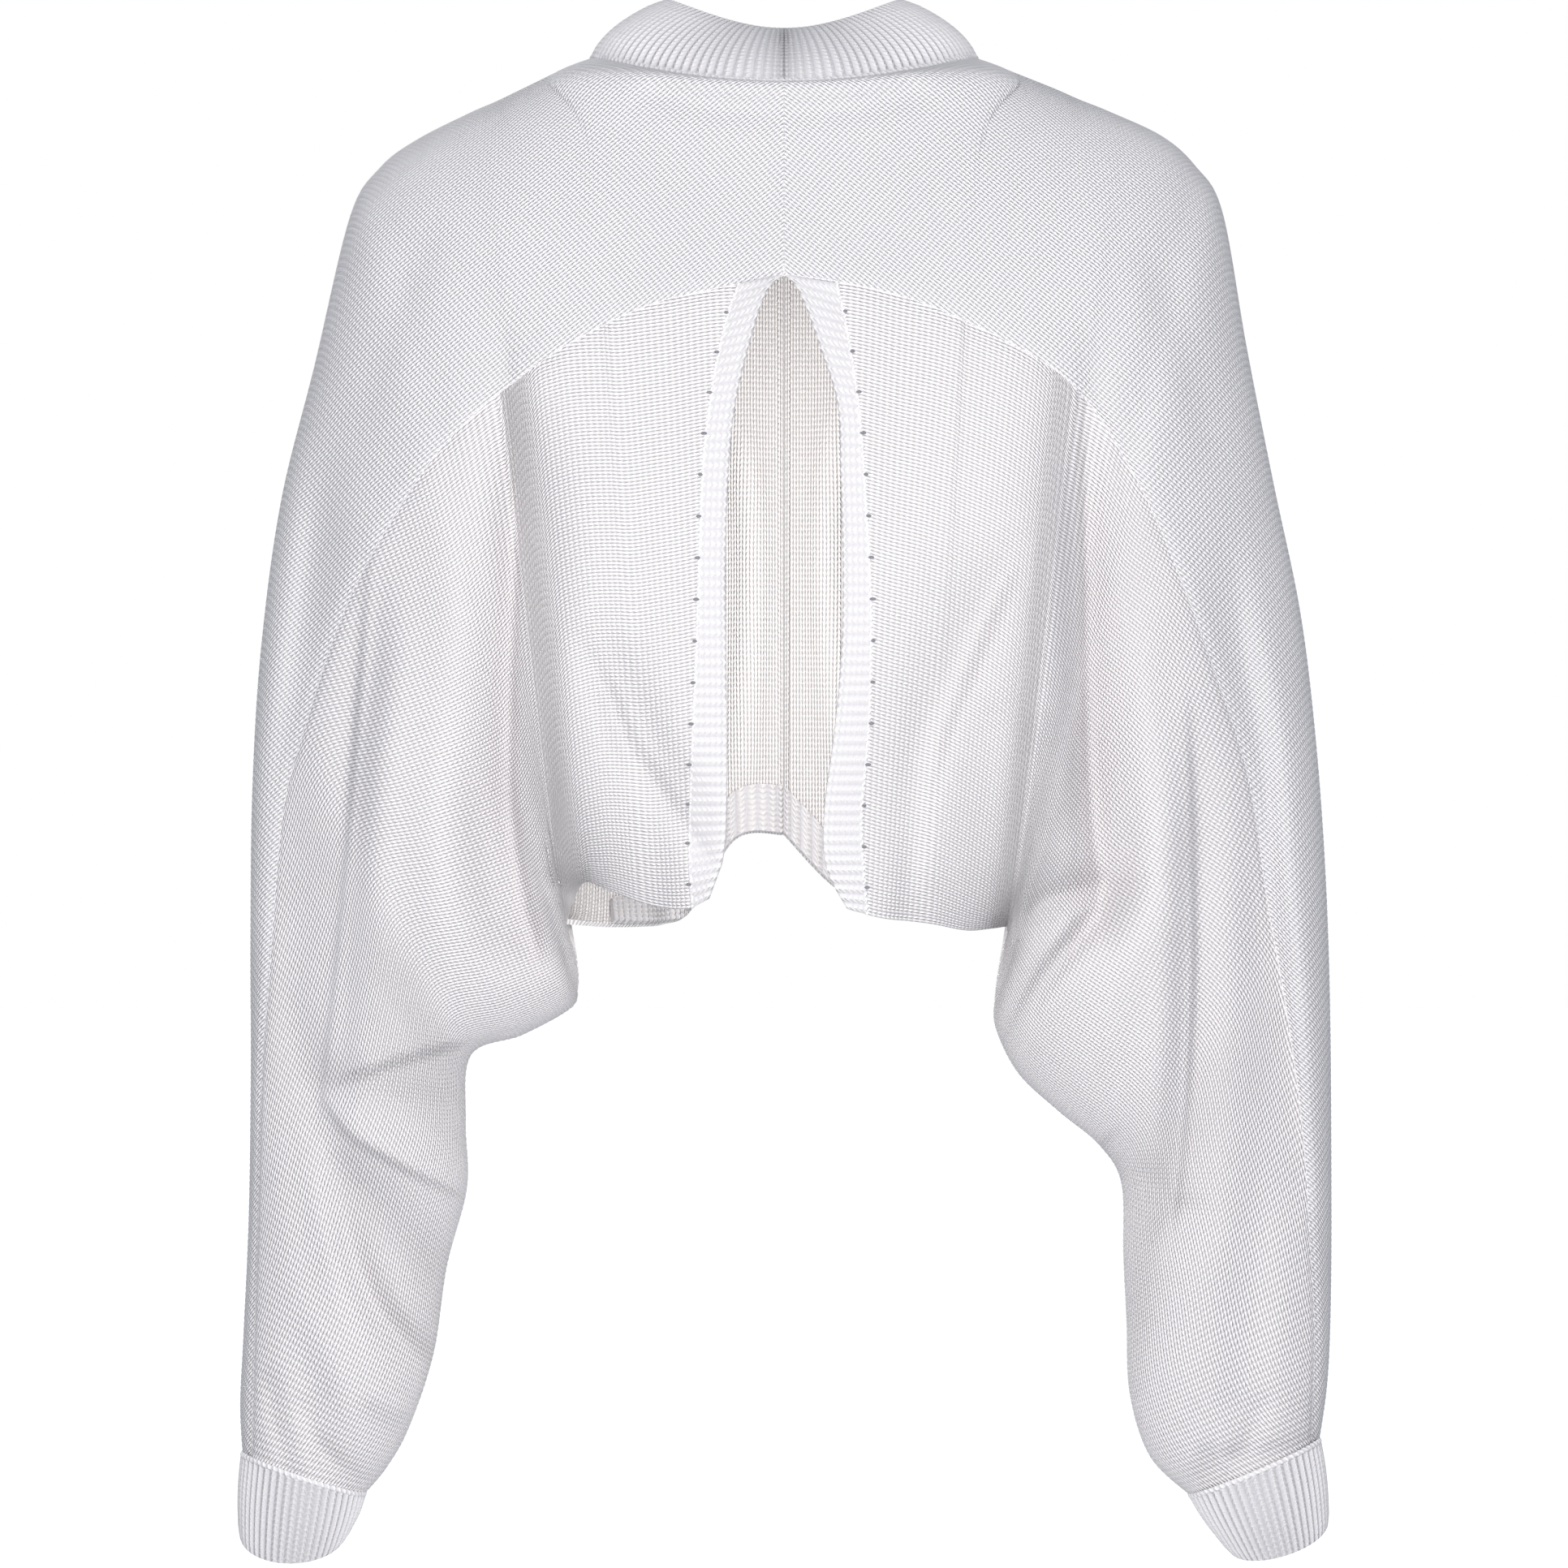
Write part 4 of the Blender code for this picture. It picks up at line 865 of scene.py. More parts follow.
class Graph:
    """The node tree of one new material."""

    def __init__(self, name):
        self.material = bpy.data.materials.new(name)
        self.material.use_nodes = True
        self.tree = self.material.node_tree
        self.shader = self.tree.nodes["Principled BSDF"]

    def node(self, kind, links=None, **settings):
        """Adds a node, sets its properties and input values, and links what is a socket."""
        node = self.tree.nodes.new(kind)
        for key, value in settings.items():
            setattr(node, key, value)
        for key, value in (links or {}).items():
            if isinstance(value, bpy.types.NodeSocket):
                self.tree.links.new(value, node.inputs[key])
            else:
                node.inputs[key].default_value = value
        return node

    def place(self):
        """The knit's place on the cloth in millimetres, across the wales and along them."""
        uv = self.node("ShaderNodeUVMap", uv_map="knit")
        parts = self.node("ShaderNodeSeparateXYZ", {"Vector": uv.outputs[0]})
        return Signal(self, parts.outputs["X"]), Signal(self, parts.outputs["Y"])

    def noise(self, scale):
        """Soft noise over the object, whose middle value is about one half."""
        spot = self.node("ShaderNodeTexCoord")
        made = self.node("ShaderNodeTexNoise", {"Vector": spot.outputs["Object"], "Scale": scale,
                                                "Detail": NOISE_DETAIL})
        return Signal(self, made.outputs[0])

    def blend(self, share, first, second):
        """Socket of a colour that goes from the first to the second as the share rises."""
        mix = self.node("ShaderNodeMix", data_type="RGBA")
        self.tree.links.new(share, mix.inputs[0])
        mix.inputs[6].default_value = (*first, 1)
        mix.inputs[7].default_value = (*second, 1)
        return mix.outputs[2]

    def finish(self, colours, shade, height, depth):
        """Mixes the shadow colour in by shade, and raises the surface by height."""
        shaded = self.blend(shade.socket, *colours)
        self.tree.links.new(shaded, self.shader.inputs["Base Color"])
        bump = self.node("ShaderNodeBump", {"Height": height.socket, "Distance": depth,
                                            "Strength": 1.0})
        self.tree.links.new(bump.outputs[0], self.shader.inputs["Normal"])
        self.shader.inputs["Roughness"].default_value = YARN_ROUGHNESS
        self.shader.inputs["Sheen Weight"].default_value = YARN_SHEEN
        self.shader.inputs["Sheen Roughness"].default_value = SHEEN_ROUGHNESS
        self.shader.inputs["Specular IOR Level"].default_value = YARN_SPECULAR
        return self.material


def stitch_wave(along, course, middle):
    """Wave along a column of V stitches, whose legs slant towards its middle."""
    slanted = along / course - middle * STITCH_SLANT
    return (slanted * (2 * np.pi)).cosine() * 0.5 + 0.5


def jersey(name, sizes, colour, wale=1.0):
    """Plain knit: columns of V stitches with a small dark gap between their legs."""
    graph = Graph(name)
    across, along = graph.place()
    middle = abs((across / (wale * sizes.jersey_wale / MM)).fraction() - 0.5)
    loop = stitch_wave(along, wale * sizes.jersey_course / MM, middle)
    leg_off = abs(middle - 0.25) * 4
    leg = 1.0 - leg_off * leg_off
    height = leg * (loop * LOOP_SHARE + (1 - LOOP_SHARE))
    gap = (1.0 - height) ** GAP_POWER
    fuzz = graph.noise(FUZZ_SCALE)
    cloud = graph.noise(CLOUD_SCALE)
    shade = gap * sizes.gap_shade + (cloud - 0.5) * sizes.cloud
    return graph.finish((colour, SHADOW_COLOUR), shade.at_least(0.0),
                        height + fuzz * FUZZ_SHARE, sizes.stitch_depth)


def rib(name, sizes, colour, strength=1.0):
    """Rib knit: a raised column of V stitches on each rib and a sunken plain column between."""
    graph = Graph(name)
    ribs, along = graph.place()
    middle = abs(ribs.fraction() - 0.5)
    column = 1.0 - middle * 2
    loop = stitch_wave(along, sizes.jersey_course / MM, middle)
    height = column * (loop * RIB_LOOP_SHARE + (1 - RIB_LOOP_SHARE))
    fuzz = graph.noise(FUZZ_SCALE)
    shade = (1.0 - column) ** RIB_GAP_POWER * (sizes.rib_shade * strength)
    shade = shade + (1.0 - loop) * (sizes.gap_shade * LOOP_SHADE)
    return graph.finish((colour, SHADOW_COLOUR), shade, height + fuzz * RIB_FUZZ_SHARE,
                        sizes.stitch_depth * RIB_DEPTH * strength)


def yarn(name, sizes, colour):
    """Twisted yarn of the linking stitches."""
    graph = Graph(name)
    across, along = graph.place()
    turn = across * (2 * np.pi / YARN_SIDES) + along * TWIST_PITCH
    twist = turn.cosine() * 0.5 + 0.5
    shade = (1.0 - twist) * sizes.gap_shade * 0.5
    return graph.finish((colour, SHADOW_COLOUR), shade, twist, sizes.stitch_depth * 0.5)


def gap_shadow_finish(name):
    """Painted shadow for a gap between stitches, a little lighter where fibres cross it."""
    graph = Graph(name)
    fibres = graph.noise(FUZZ_SCALE)
    return graph.finish((GAP_SHADOW_COLOUR, SHADOW_COLOUR), fibres ** 3, fibres, 0.1 * MM)


def paper_finish(name, colour):
    """Plain matt paper for the floor, which glows far behind the sweater as if lit there."""
    graph = Graph(name)
    spot = graph.node("ShaderNodeTexCoord")
    parts = graph.node("ShaderNodeSeparateXYZ", {"Vector": spot.outputs["Object"]})
    span = graph.node("ShaderNodeMapRange", {"Value": parts.outputs["Y"], "From Min": GLOW_START,
                                             "From Max": GLOW_FULL})
    glow = graph.blend(span.outputs["Result"], (0, 0, 0), PAPER_GLOW)
    graph.tree.links.new(glow, graph.shader.inputs["Emission Color"])
    graph.shader.inputs["Base Color"].default_value = (*colour, 1)
    graph.shader.inputs["Roughness"].default_value = PAPER_ROUGHNESS
    graph.shader.inputs["Emission Strength"].default_value = FLOOR_GLOW
    return graph.material


def dress(thing, material, node=None):
    """Gives a piece its material, says what it rides on, and hides the part of the fixed model that it
    stands for.
    """
    thing.data.materials.append(material)
    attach(thing, "root")
    if node:
        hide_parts(node)
    return thing


def sides():
    return (("left", LEFT), ("right", RIGHT))


def size_setting(name, words, default, low, high, **kind):
    return bpy.props.FloatProperty(name=name, description=words, default=default, min=low,
                                   max=high, **kind)


def count_setting(name, words, default, low, high):
    return bpy.props.IntProperty(name=name, description=words, default=default, min=low, max=high)


def colour_setting(name, words, default):
    return bpy.props.FloatVectorProperty(name=name, description=words, default=default, size=3,
                                         min=0.0, max=1.0, subtype="COLOR")


class SweaterSizes(bpy.types.PropertyGroup):
    """Sizes and colours of the knit."""

    jersey_wale: size_setting("Wale width", "Width of one column of stitches",
                        0.0028, 0.001, 0.006, unit="LENGTH")
    jersey_course: size_setting("Course height", "Height of one row of stitches",
                          0.0025, 0.001, 0.006, unit="LENGTH")
    stitch_depth: size_setting("Stitch depth", "Height of the stitches' relief",
                         0.0011, 0.0, 0.003, unit="LENGTH")
    gap_shade: size_setting("Gap shade", "How dark the gaps between stitches are",
                      0.6, 0.0, 1.0, subtype="FACTOR")
    rib_shade: size_setting("Rib shade", "How dark the hollows between ribs are",
                      0.5, 0.0, 1.0, subtype="FACTOR")
    cloud: size_setting("Unevenness", "How much the yarn's shade drifts over the cloth",
                  0.12, 0.0, 1.0, subtype="FACTOR")
    neck_ribs: count_setting("Neckband ribs", "Ribs round the neckband", 124, 20, 300)
    cuff_ribs: count_setting("Cuff ribs", "Ribs round one cuff", 48, 12, 120)
    slit_ribs: count_setting("Slit ribs", "Ribs along one slit band", 64, 12, 200)
    # The yoke's yarn is set a little darker than the panels': partly its own tone, partly painted shade
    # of the upper back, which faces up
    yoke_colour_and_shade: colour_setting("Yoke colour", "Colour of the upper back's yarn", (0.85, 0.83, 0.845))
    panel_colour: colour_setting("Panel colour", "Colour of the lower panels' yarn", (0.875, 0.84, 0.85))
    front_colour: colour_setting("Front colour", "Colour of the front's yarn", (0.88, 0.85, 0.84))
    band_colour: colour_setting("Band colour", "Colour of the slit's and hem's ribs", (0.73, 0.71, 0.715))
    rib_colour: colour_setting("Rib colour", "Colour of the other ribs' yarn", (0.80, 0.78, 0.79))


class StageSizes(bpy.types.PropertyGroup):
    """Sizes of the stage, its lights and the camera."""

    floor_drop: size_setting("Floor drop", "How far the floor lies under the shoulders",
                       1.42, 0.75, 3.0, unit="LENGTH")
    camera_distance: size_setting("Camera distance", "From the camera to the middle of the sweater",
                            4.0, 1.0, 20.0, unit="LENGTH")
    frame_width: size_setting("Frame width", "Width that the picture shows at the sweater",
                        0.6955, 0.1, 5.0, unit="LENGTH")
    camera_height: size_setting("Camera height", "Height of the camera from the shoulders",
                          -0.3208, -2.0, 2.0, unit="LENGTH")
    key_power: size_setting("Key light", "Power of the soft light before the back, in watts",
                      10.7, 0.0, 1000.0)
    top_power: size_setting("Top light", "Power of the light over the shoulders, in watts",
                      2.4, 0.0, 1000.0)
    face_power: size_setting("Front light", "Power of the light on the sweater's front, in watts",
                       7.5, 0.0, 1000.0)
    hollow_power: size_setting("Hollow light", "Power of the small light inside the sweater, in watts",
                         0.34, 0.0, 10.0)
    sky_strength: size_setting("Room light", "Strength of the light that comes from all round",
                         0.66, 0.0, 5.0)


class SWEATER_OT_yokes(bpy.types.Operator):
    """Makes the two halves of the upper back, knit on the bias"""

    bl_idname = "sweater.yokes"
    bl_label = "Add Yokes"

    def execute(self, context):
        sizes = context.scene.sweater
        # the yoke's colour holds painted shade in part, for the up-facing upper back
        material = jersey("bias_jersey", sizes, sizes.yoke_colour_and_shade)
        for word, side in sides():
            u = even_sections(side, BACK, CENTRE_START, YOKE_COLUMNS)
            top = top_share(side, BACK, u)
            low = seam_v(side, u, -ARC_CLEAR)
            t = np.linspace(0, 1, YOKE_ROWS)[:, None]
            v = top + (low - top) * t
            outer, inner = cloth_panel(side, BACK, np.broadcast_to(u, v.shape), v,
                                       seam_below=SEAM_DIP)
            thing = add_shell("yoke_knit_" + word, outer, inner, flat_uv(outer, side, BIAS_TURN))
            dress(thing, material, "back_yoke_" + word)
        return {"FINISHED"}


class SWEATER_OT_back_panels(bpy.types.Operator):
    """Makes the two lower back panels, whose wales run from the slit down the sleeves"""

    bl_idname = "sweater.back_panels"
    bl_label = "Add Back Panels"

    def execute(self, context):
        sizes = context.scene.sweater
        material = jersey("side_jersey", sizes, sizes.panel_colour, 1.12)
        for word, side in sides():
            starts = slit_edge(side, PANEL_ROWS)[0]
            u = np.stack([even_sections(side, BACK, start, PANEL_COLUMNS) for start in starts])
            even = np.linspace(0, LAST, 4 * PANEL_COLUMNS)
            low = np.interp(u, even, seam_v(side, even, ARC_CLEAR))
            high = end_share(side, BACK, u)
            t = np.linspace(0, 1, PANEL_ROWS)[:, None]
            v = low + (high - low) * t
            outer, inner = cloth_panel(side, BACK, u, v, seam_above=SEAM_DIP)
            thing = add_shell("panel_knit_" + word, outer, inner, along_sleeve(side, BACK, u, v))
            dress(thing, material, "back_panel_" + word)
        return {"FINISHED"}


class SWEATER_OT_front(bpy.types.Operator):
    """Makes the two halves of the front and their centre seam's allowance"""

    bl_idname = "sweater.front"
    bl_label = "Add Front"

    def execute(self, context):
        sizes = context.scene.sweater
        material = jersey("front_jersey", sizes, sizes.front_colour)
        for word, side in sides():
            u = even_sections(side, FRONT, CENTRE_START, YOKE_COLUMNS)
            top = top_share(side, FRONT, u)
            t = np.linspace(0, 1, FRONT_ROWS)[:, None]
            v = top + (end_share(side, FRONT, u) - top) * t
            u = np.broadcast_to(u, v.shape)
            outer, inner = cloth_panel(side, FRONT, u, v)
            thing = add_shell("front_knit_" + word, outer, inner, flat_uv(outer, side, 0.0))
            strip = dress(self.allowance(word, side), material)
            dress(thing, material, "front_" + word)
        return {"FINISHED"}

    def allowance(self, word, side):
        """The edge of the centre seam, turned out flat on the inside of the front."""
        v, u = np.meshgrid(np.linspace(*ALLOWANCE_REACH, ALLOWANCE_ROWS),
                           np.linspace(*ALLOWANCE_SPAN, ALLOWANCE_COLUMNS), indexing="ij")
        normal = surface_normal(side, FRONT, u, v)
        base = surface(side, FRONT, u, v) - normal * WALL
        swell = np.sin(np.linspace(*ALLOWANCE_CURVE, ALLOWANCE_COLUMNS) * np.pi) ** 0.5
        top = base - normal * (ALLOWANCE_RISE * swell)[None, :, None]
        uv = np.stack([running_length(base, 1), running_length(base, 0)], -1)
        return add_shell("front_allowance_" + word, base, top, uv)


class SWEATER_OT_slit_bands(bpy.types.Operator):
    """Makes the ribbed bands on both edges of the slit"""

    bl_idname = "sweater.slit_bands"
    bl_label = "Add Slit Bands"

    def execute(self, context):
        sizes = context.scene.sweater
        material = rib("slit_rib", sizes, sizes.band_colour, 0.7)
        rows = sizes.slit_ribs * RIB_STEPS + 1
        for word, side in sides():
            _, edge_x, edge_z = slit_edge(side, SLIT_ROWS)
            t = np.linspace(0, len(side.slit) - 1, SPACING_STEPS)
            middle = smooth([(r.in_x + r.out_x, r.in_z + r.out_z) for r in side.slit], t) / 2
            length = running_length(middle, 0)
            t = np.interp(np.linspace(0, length[-1], rows), length, t)
            near = smooth([(r.in_x, r.in_z) for r in side.slit], t)
            far = smooth([(r.out_x, r.out_z) for r in side.slit], t)
            top = BAND_TOP_RISE * np.exp(-(np.linspace(0, length[-1], rows) / BAND_TOP_SOFT) ** 2)
            near[:, 1] += top
            far[:, 1] += top
            far[:, 0] = np.interp(-far[:, 1], -edge_z, edge_x) - SEAM_GAP
            mix = np.linspace(0, 1, SLIT_COLUMNS)
            points = near[:, None] + (far - near)[:, None] * mix[None, :, None]
            u, v = locate(side, points[..., 0], points[..., 1])
            normal = surface_normal(side, BACK, u, v)
            turn = np.arange(rows) / RIB_STEPS
            high = SLIT_RISE * rib_wave(turn)
            roll = -EDGE_ROLL * (1 - np.clip(mix / ROLL_SPAN, 0, 1)) ** 2
            base = surface(side, BACK, u, v)
            outer = base + normal * (high[:, None] + roll[None, :])[..., None]
            inner = base - normal * WALL
            across = np.broadcast_to(turn[:, None], u.shape)
            uv = np.stack([across, running_length(outer, 1)], -1)
            thing = add_shell("slit_rib_" + word, outer, inner, uv)
            dress(thing, material, "slit_band_" + word)
        return {"FINISHED"}


class SWEATER_OT_neckband(bpy.types.Operator):
    """Makes the ribbed neckband"""

    bl_idname = "sweater.neckband"
    bl_label = "Add Neckband"

    def execute(self, context):
        sizes = context.scene.sweater
        material = rib("neck_rib", sizes, sizes.rib_colour)
        count = sizes.neck_ribs * RIB_STEPS
        ring = neck_ring(count)
        out = unit(ring * [1, 1, 0])
        turn = np.arange(count) / RIB_STEPS
        rib_high = RIB_RAISE * rib_wave(turn)
        outer = []
        inner = []
        for t in np.linspace(0, 1, NECK_ROWS):
            lean = (2 * t * (1 - t) * BAND_BEND_LEAN + t * t) * BAND_LEAN
            rise = (2 * t * (1 - t) * BAND_BEND_RISE + t * t) * BAND_RISE
            lean_slope = ((1 - t) * BAND_BEND_LEAN + t * (1 - BAND_BEND_LEAN)) * BAND_LEAN
            rise_slope = ((1 - t) * BAND_BEND_RISE + t * (1 - BAND_BEND_RISE)) * BAND_RISE
            slope = unit(np.array([lean_slope, rise_slope]))
            normal = out * slope[1] + np.array([0, 0, slope[0]])
            point = ring - out * lean + np.array([0, 0, rise])
            outer.append(point + normal * (rib_high * closing_up(t, NECK_BIND))[:, None])
            inner.append(point - normal * BAND_WALL)
        outer = np.stack(outer)
        inner = np.stack(inner)
        uv = ring_uv(outer, turn, sizes.neck_ribs)
        thing = add_shell("neck_rib_ring", outer, inner, uv, closed=True)
        dress(thing, material, "neckband")
        return {"FINISHED"}


class SWEATER_OT_cuffs(bpy.types.Operator):
    """Makes the two ribbed cuffs"""

    bl_idname = "sweater.cuffs"
    bl_label = "Add Cuffs"

    def execute(self, context):
        sizes = context.scene.sweater
        material = rib("cuff_rib", sizes, sizes.rib_colour)
        turn = np.arange(sizes.cuff_ribs * RIB_STEPS) / RIB_STEPS
        rib_high = RIB_RAISE * rib_wave(turn)
        angle = turn / sizes.cuff_ribs * 2 * np.pi
        steps = np.linspace(0, 1, CUFF_ROWS)
        for word, side in sides():
            outer = [self.ring(side, angle, t, rib_high * closing_up(t, CUFF_BIND)) for t in steps]
            inner = [self.ring(side, angle, t, np.full_like(turn, -WALL)) for t in steps]
            outer = np.stack(outer)
            uv = ring_uv(outer, turn, sizes.cuff_ribs)
            thing = add_shell("cuff_rib_" + word, outer, np.stack(inner), uv, closed=True)
            dress(thing, material, "cuff_" + word)
        return {"FINISHED"}

    def ring(self, side, angle, t, offset):
        """Points round a cuff at t of the way from the sleeve to its edge, moved out by offset."""
        row = side.sections[-1]
        edge = side.cuff
        first = np.array([[row.over_x, row.over_z], [row.end_x, row.end_z]])
        last = np.array([[edge.over_x, edge.over_z], [edge.end_x, edge.end_z]])
        belly = 1 + CUFF_BELLY * np.sin(np.pi * t)
        a, b = first * (1 - t) + last * t
        half = (a - b) / 2 * belly
        radius = np.linalg.norm(half)
        depth = row.back * (1 - t) + edge.depth * t * belly
        flat = (a + b) / 2 + half * np.cos(angle)[:, None] * (radius + offset)[:, None] / radius
        depths = np.sin(angle) * (depth + offset) + row.mid_y
        dip = edge.dip * t * np.sin(angle)
        return np.stack([side.sign * flat[:, 0], depths, flat[:, 1] - dip], -1)


def hem_points(side, face, u, offset):
    """Points of a hem band: across its length, and up from the hem, inside the wall."""
    over, end, _, _ = section_values(side, face, u)
    length = np.linalg.norm(end - over, axis=-1)
    t = np.linspace(0, 1, HEM_ROWS)[:, None]
    v = 1 - t * HEM_BAND_HEIGHT / length * HEM_TURN
    u = np.broadcast_to(u, v.shape)
    return surface(side, face, u, v) - offset * surface_normal(side, face, u, v)


class SWEATER_OT_hem_bands(bpy.types.Operator):
    """Makes the ribbed hem bands that are turned up inside the hem"""

    bl_idname = "sweater.hem_bands"
    bl_label = "Add Hem Bands"

    def execute(self, context):
        sizes = context.scene.sweater
        material = rib("hem_rib", sizes, sizes.band_colour)
        turn = np.arange(HEM_RIBS * RIB_STEPS + 1) / RIB_STEPS
        high = HEM_RISE * rib_wave(turn)[None, :, None]
        for word, side in sides():
            start = slit_edge(side, 2)[0][-1] + HEM_START_CLEAR
            u = np.linspace(start, HEM_BACK_STOP, len(turn))
            outer = hem_points(side, BACK, u, WALL + HEM_GAP)
            inner = hem_points(side, BACK, u, 2 * WALL + HEM_GAP + high)
            uv = np.stack([np.broadcast_to(turn, outer.shape[:2]), running_length(outer, 0)], -1)
            thing = add_shell("hem_rib_" + word, inner, outer, uv)
            dress(thing, material, "hem_band_back_" + word)
        u = np.linspace(CENTRE_START, HEM_FRONT_STOP, len(turn))
        low = [hem_points(side, FRONT, u, WALL + HEM_GAP) for side in (RIGHT, LEFT)]
        top = [hem_points(side, FRONT, u, 2 * WALL + HEM_GAP + high) for side in (RIGHT, LEFT)]
        outer = np.concatenate([low[0][:, ::-1], low[1]], axis=1)
        inner = np.concatenate([top[0][:, ::-1], top[1]], axis=1)
        across = np.concatenate([-turn[::-1], turn])
        uv = np.stack([np.broadcast_to(across, outer.shape[:2]), running_length(outer, 0)], -1)
        thing = add_shell("hem_rib_front", inner, outer, uv)
        dress(thing, material, "hem_band_front")
        return {"FINISHED"}


class SWEATER_OT_seams(bpy.types.Operator):
    """Makes the linking stitches along every seam, and dark blobs of painted shadow for the gaps beside
    the slit bands
    """

    bl_idname = "sweater.seams"
    bl_label = "Add Seams"

    def execute(self, context):
        sizes = context.scene.sweater
        material = yarn("linking_yarn", sizes, sizes.rib_colour)
        # a dark finish of painted shadow for the small gaps beside the slit bands
        dark = gap_shadow_finish("gap_shadow")
        ring = neck_ring(CHAINS["neck"].points)
        out = unit(ring * [1, 1, 0]) + NECK_TILT
        self.link("neck", "neck_linking", ring, out, material, closed=True)
        for word, side in sides():
            u = np.linspace(CENTRE_START, LAST, CHAINS["arc"].points)
            self.link_back("arc", "_linking_" + word, side, u, seam_v(side, u, 0.0), material)
            if side is LEFT:
                u = np.full(CHAINS["centre_back"].points, CENTRE_START)
                v = np.linspace(CENTRE_TOP, seam_v(side, u[:1], 0.0)[0], len(u))
                self.link_back("centre_back", "_linking", side, u, v, material)
            u = np.linspace(NECK_SECTION, LAST, CHAINS["overarm"].points)
            self.link_back("overarm", "_linking_" + word, side, u, 0 * u, material)
            u = np.linspace(HEM_SECTION, LAST, CHAINS["underarm"].points)
            self.link_back("underarm", "_linking_" + word, side, u, 0 * u + 1, material)
            self.link_cuff(word, side, material)
            self.slit_seam(word, side, material, dark)
        return {"FINISHED"}

    def link(self, kind, name, path, normal, material, closed=False):
        chain = CHAINS[kind]
        thing = add_chain(name, path + normal * chain.lift, normal, chain.radius, chain.pitch, closed)
        dress(thing, material)

    def link_back(self, kind, ending, side, u, v, material):
        """Links a seam that runs over the back's surface."""
        normal = surface_normal(side, BACK, u, np.clip(v, CHAIN_EDGE, 1 - CHAIN_EDGE))
        self.link(kind, kind + ending, surface(side, BACK, u, v), normal, material)

    def link_cuff(self, word, side, material):
        row = side.sections[-1]
        angle = np.linspace(0, 2 * np.pi, CHAINS["cuff"].points, endpoint=False)
        way = (1 - np.cos(angle)) / 2
        over = np.array([row.over_x, row.over_z])
        flat = over + (np.array([row.end_x, row.end_z]) - over) * way[:, None]
        depths = np.sin(angle) * row.back + row.mid_y
        path = np.stack([side.sign * flat[:, 0], depths, flat[:, 1]], -1)
        self.link("cuff", "cuff_linking_" + word, path, unit(path - path.mean(0)), material,
                  closed=True)

    def slit_seam(self, word, side, material, dark):
        """Links a slit band to its panel, with dark blobs of painted shadow for the small gaps that the
        linking leaves.
        """
        _, x, z = slit_edge(side, SLIT_ROWS)
        u, v = locate(side, x - SEAM_GAP, z)
        normal = surface_normal(side, BACK, u, v)
        path = surface(side, BACK, u, v)
        self.link("slit", "slit_linking_" + word, path, normal, material)
        length = running_length(path, 0)
        places = np.arange(EYELET_FIRST, length[-1] - EYELET_LAST, EYELET_PITCH)
        points = read_along(path, length, places) + [side.sign * EYELET_OUT, 0, 0]
        ways = read_along(normal, length, places)
        # each gap is a small dark blob of painted shadow, lifted just off the cloth
        shape = bmesh.new()
        for number, (point, way) in enumerate(zip(points + ways * EYELET_LIFT, ways)):
            made = bmesh.ops.create_icosphere(shape, subdivisions=2, radius=1.0)
            turn = Vector(way).to_track_quat("Z", "Y").to_matrix()
            wide = EYELET_WIDTH * (EYELET_SPREAD[0] + EYELET_SPREAD[1] * (number % 4))
            for corner in made["verts"]:
                spot = Vector((wide, EYELET_HEIGHT, EYELET_DEPTH)) * corner.co
                corner.co = (turn @ spot + Vector(point)) * MM
        mesh = bpy.data.meshes.new("seam_gap_shadows_" + word)
        shape.to_mesh(mesh)
        shape.free()
        dress(add_piece("seam_gap_shadows_" + word, mesh), dark)


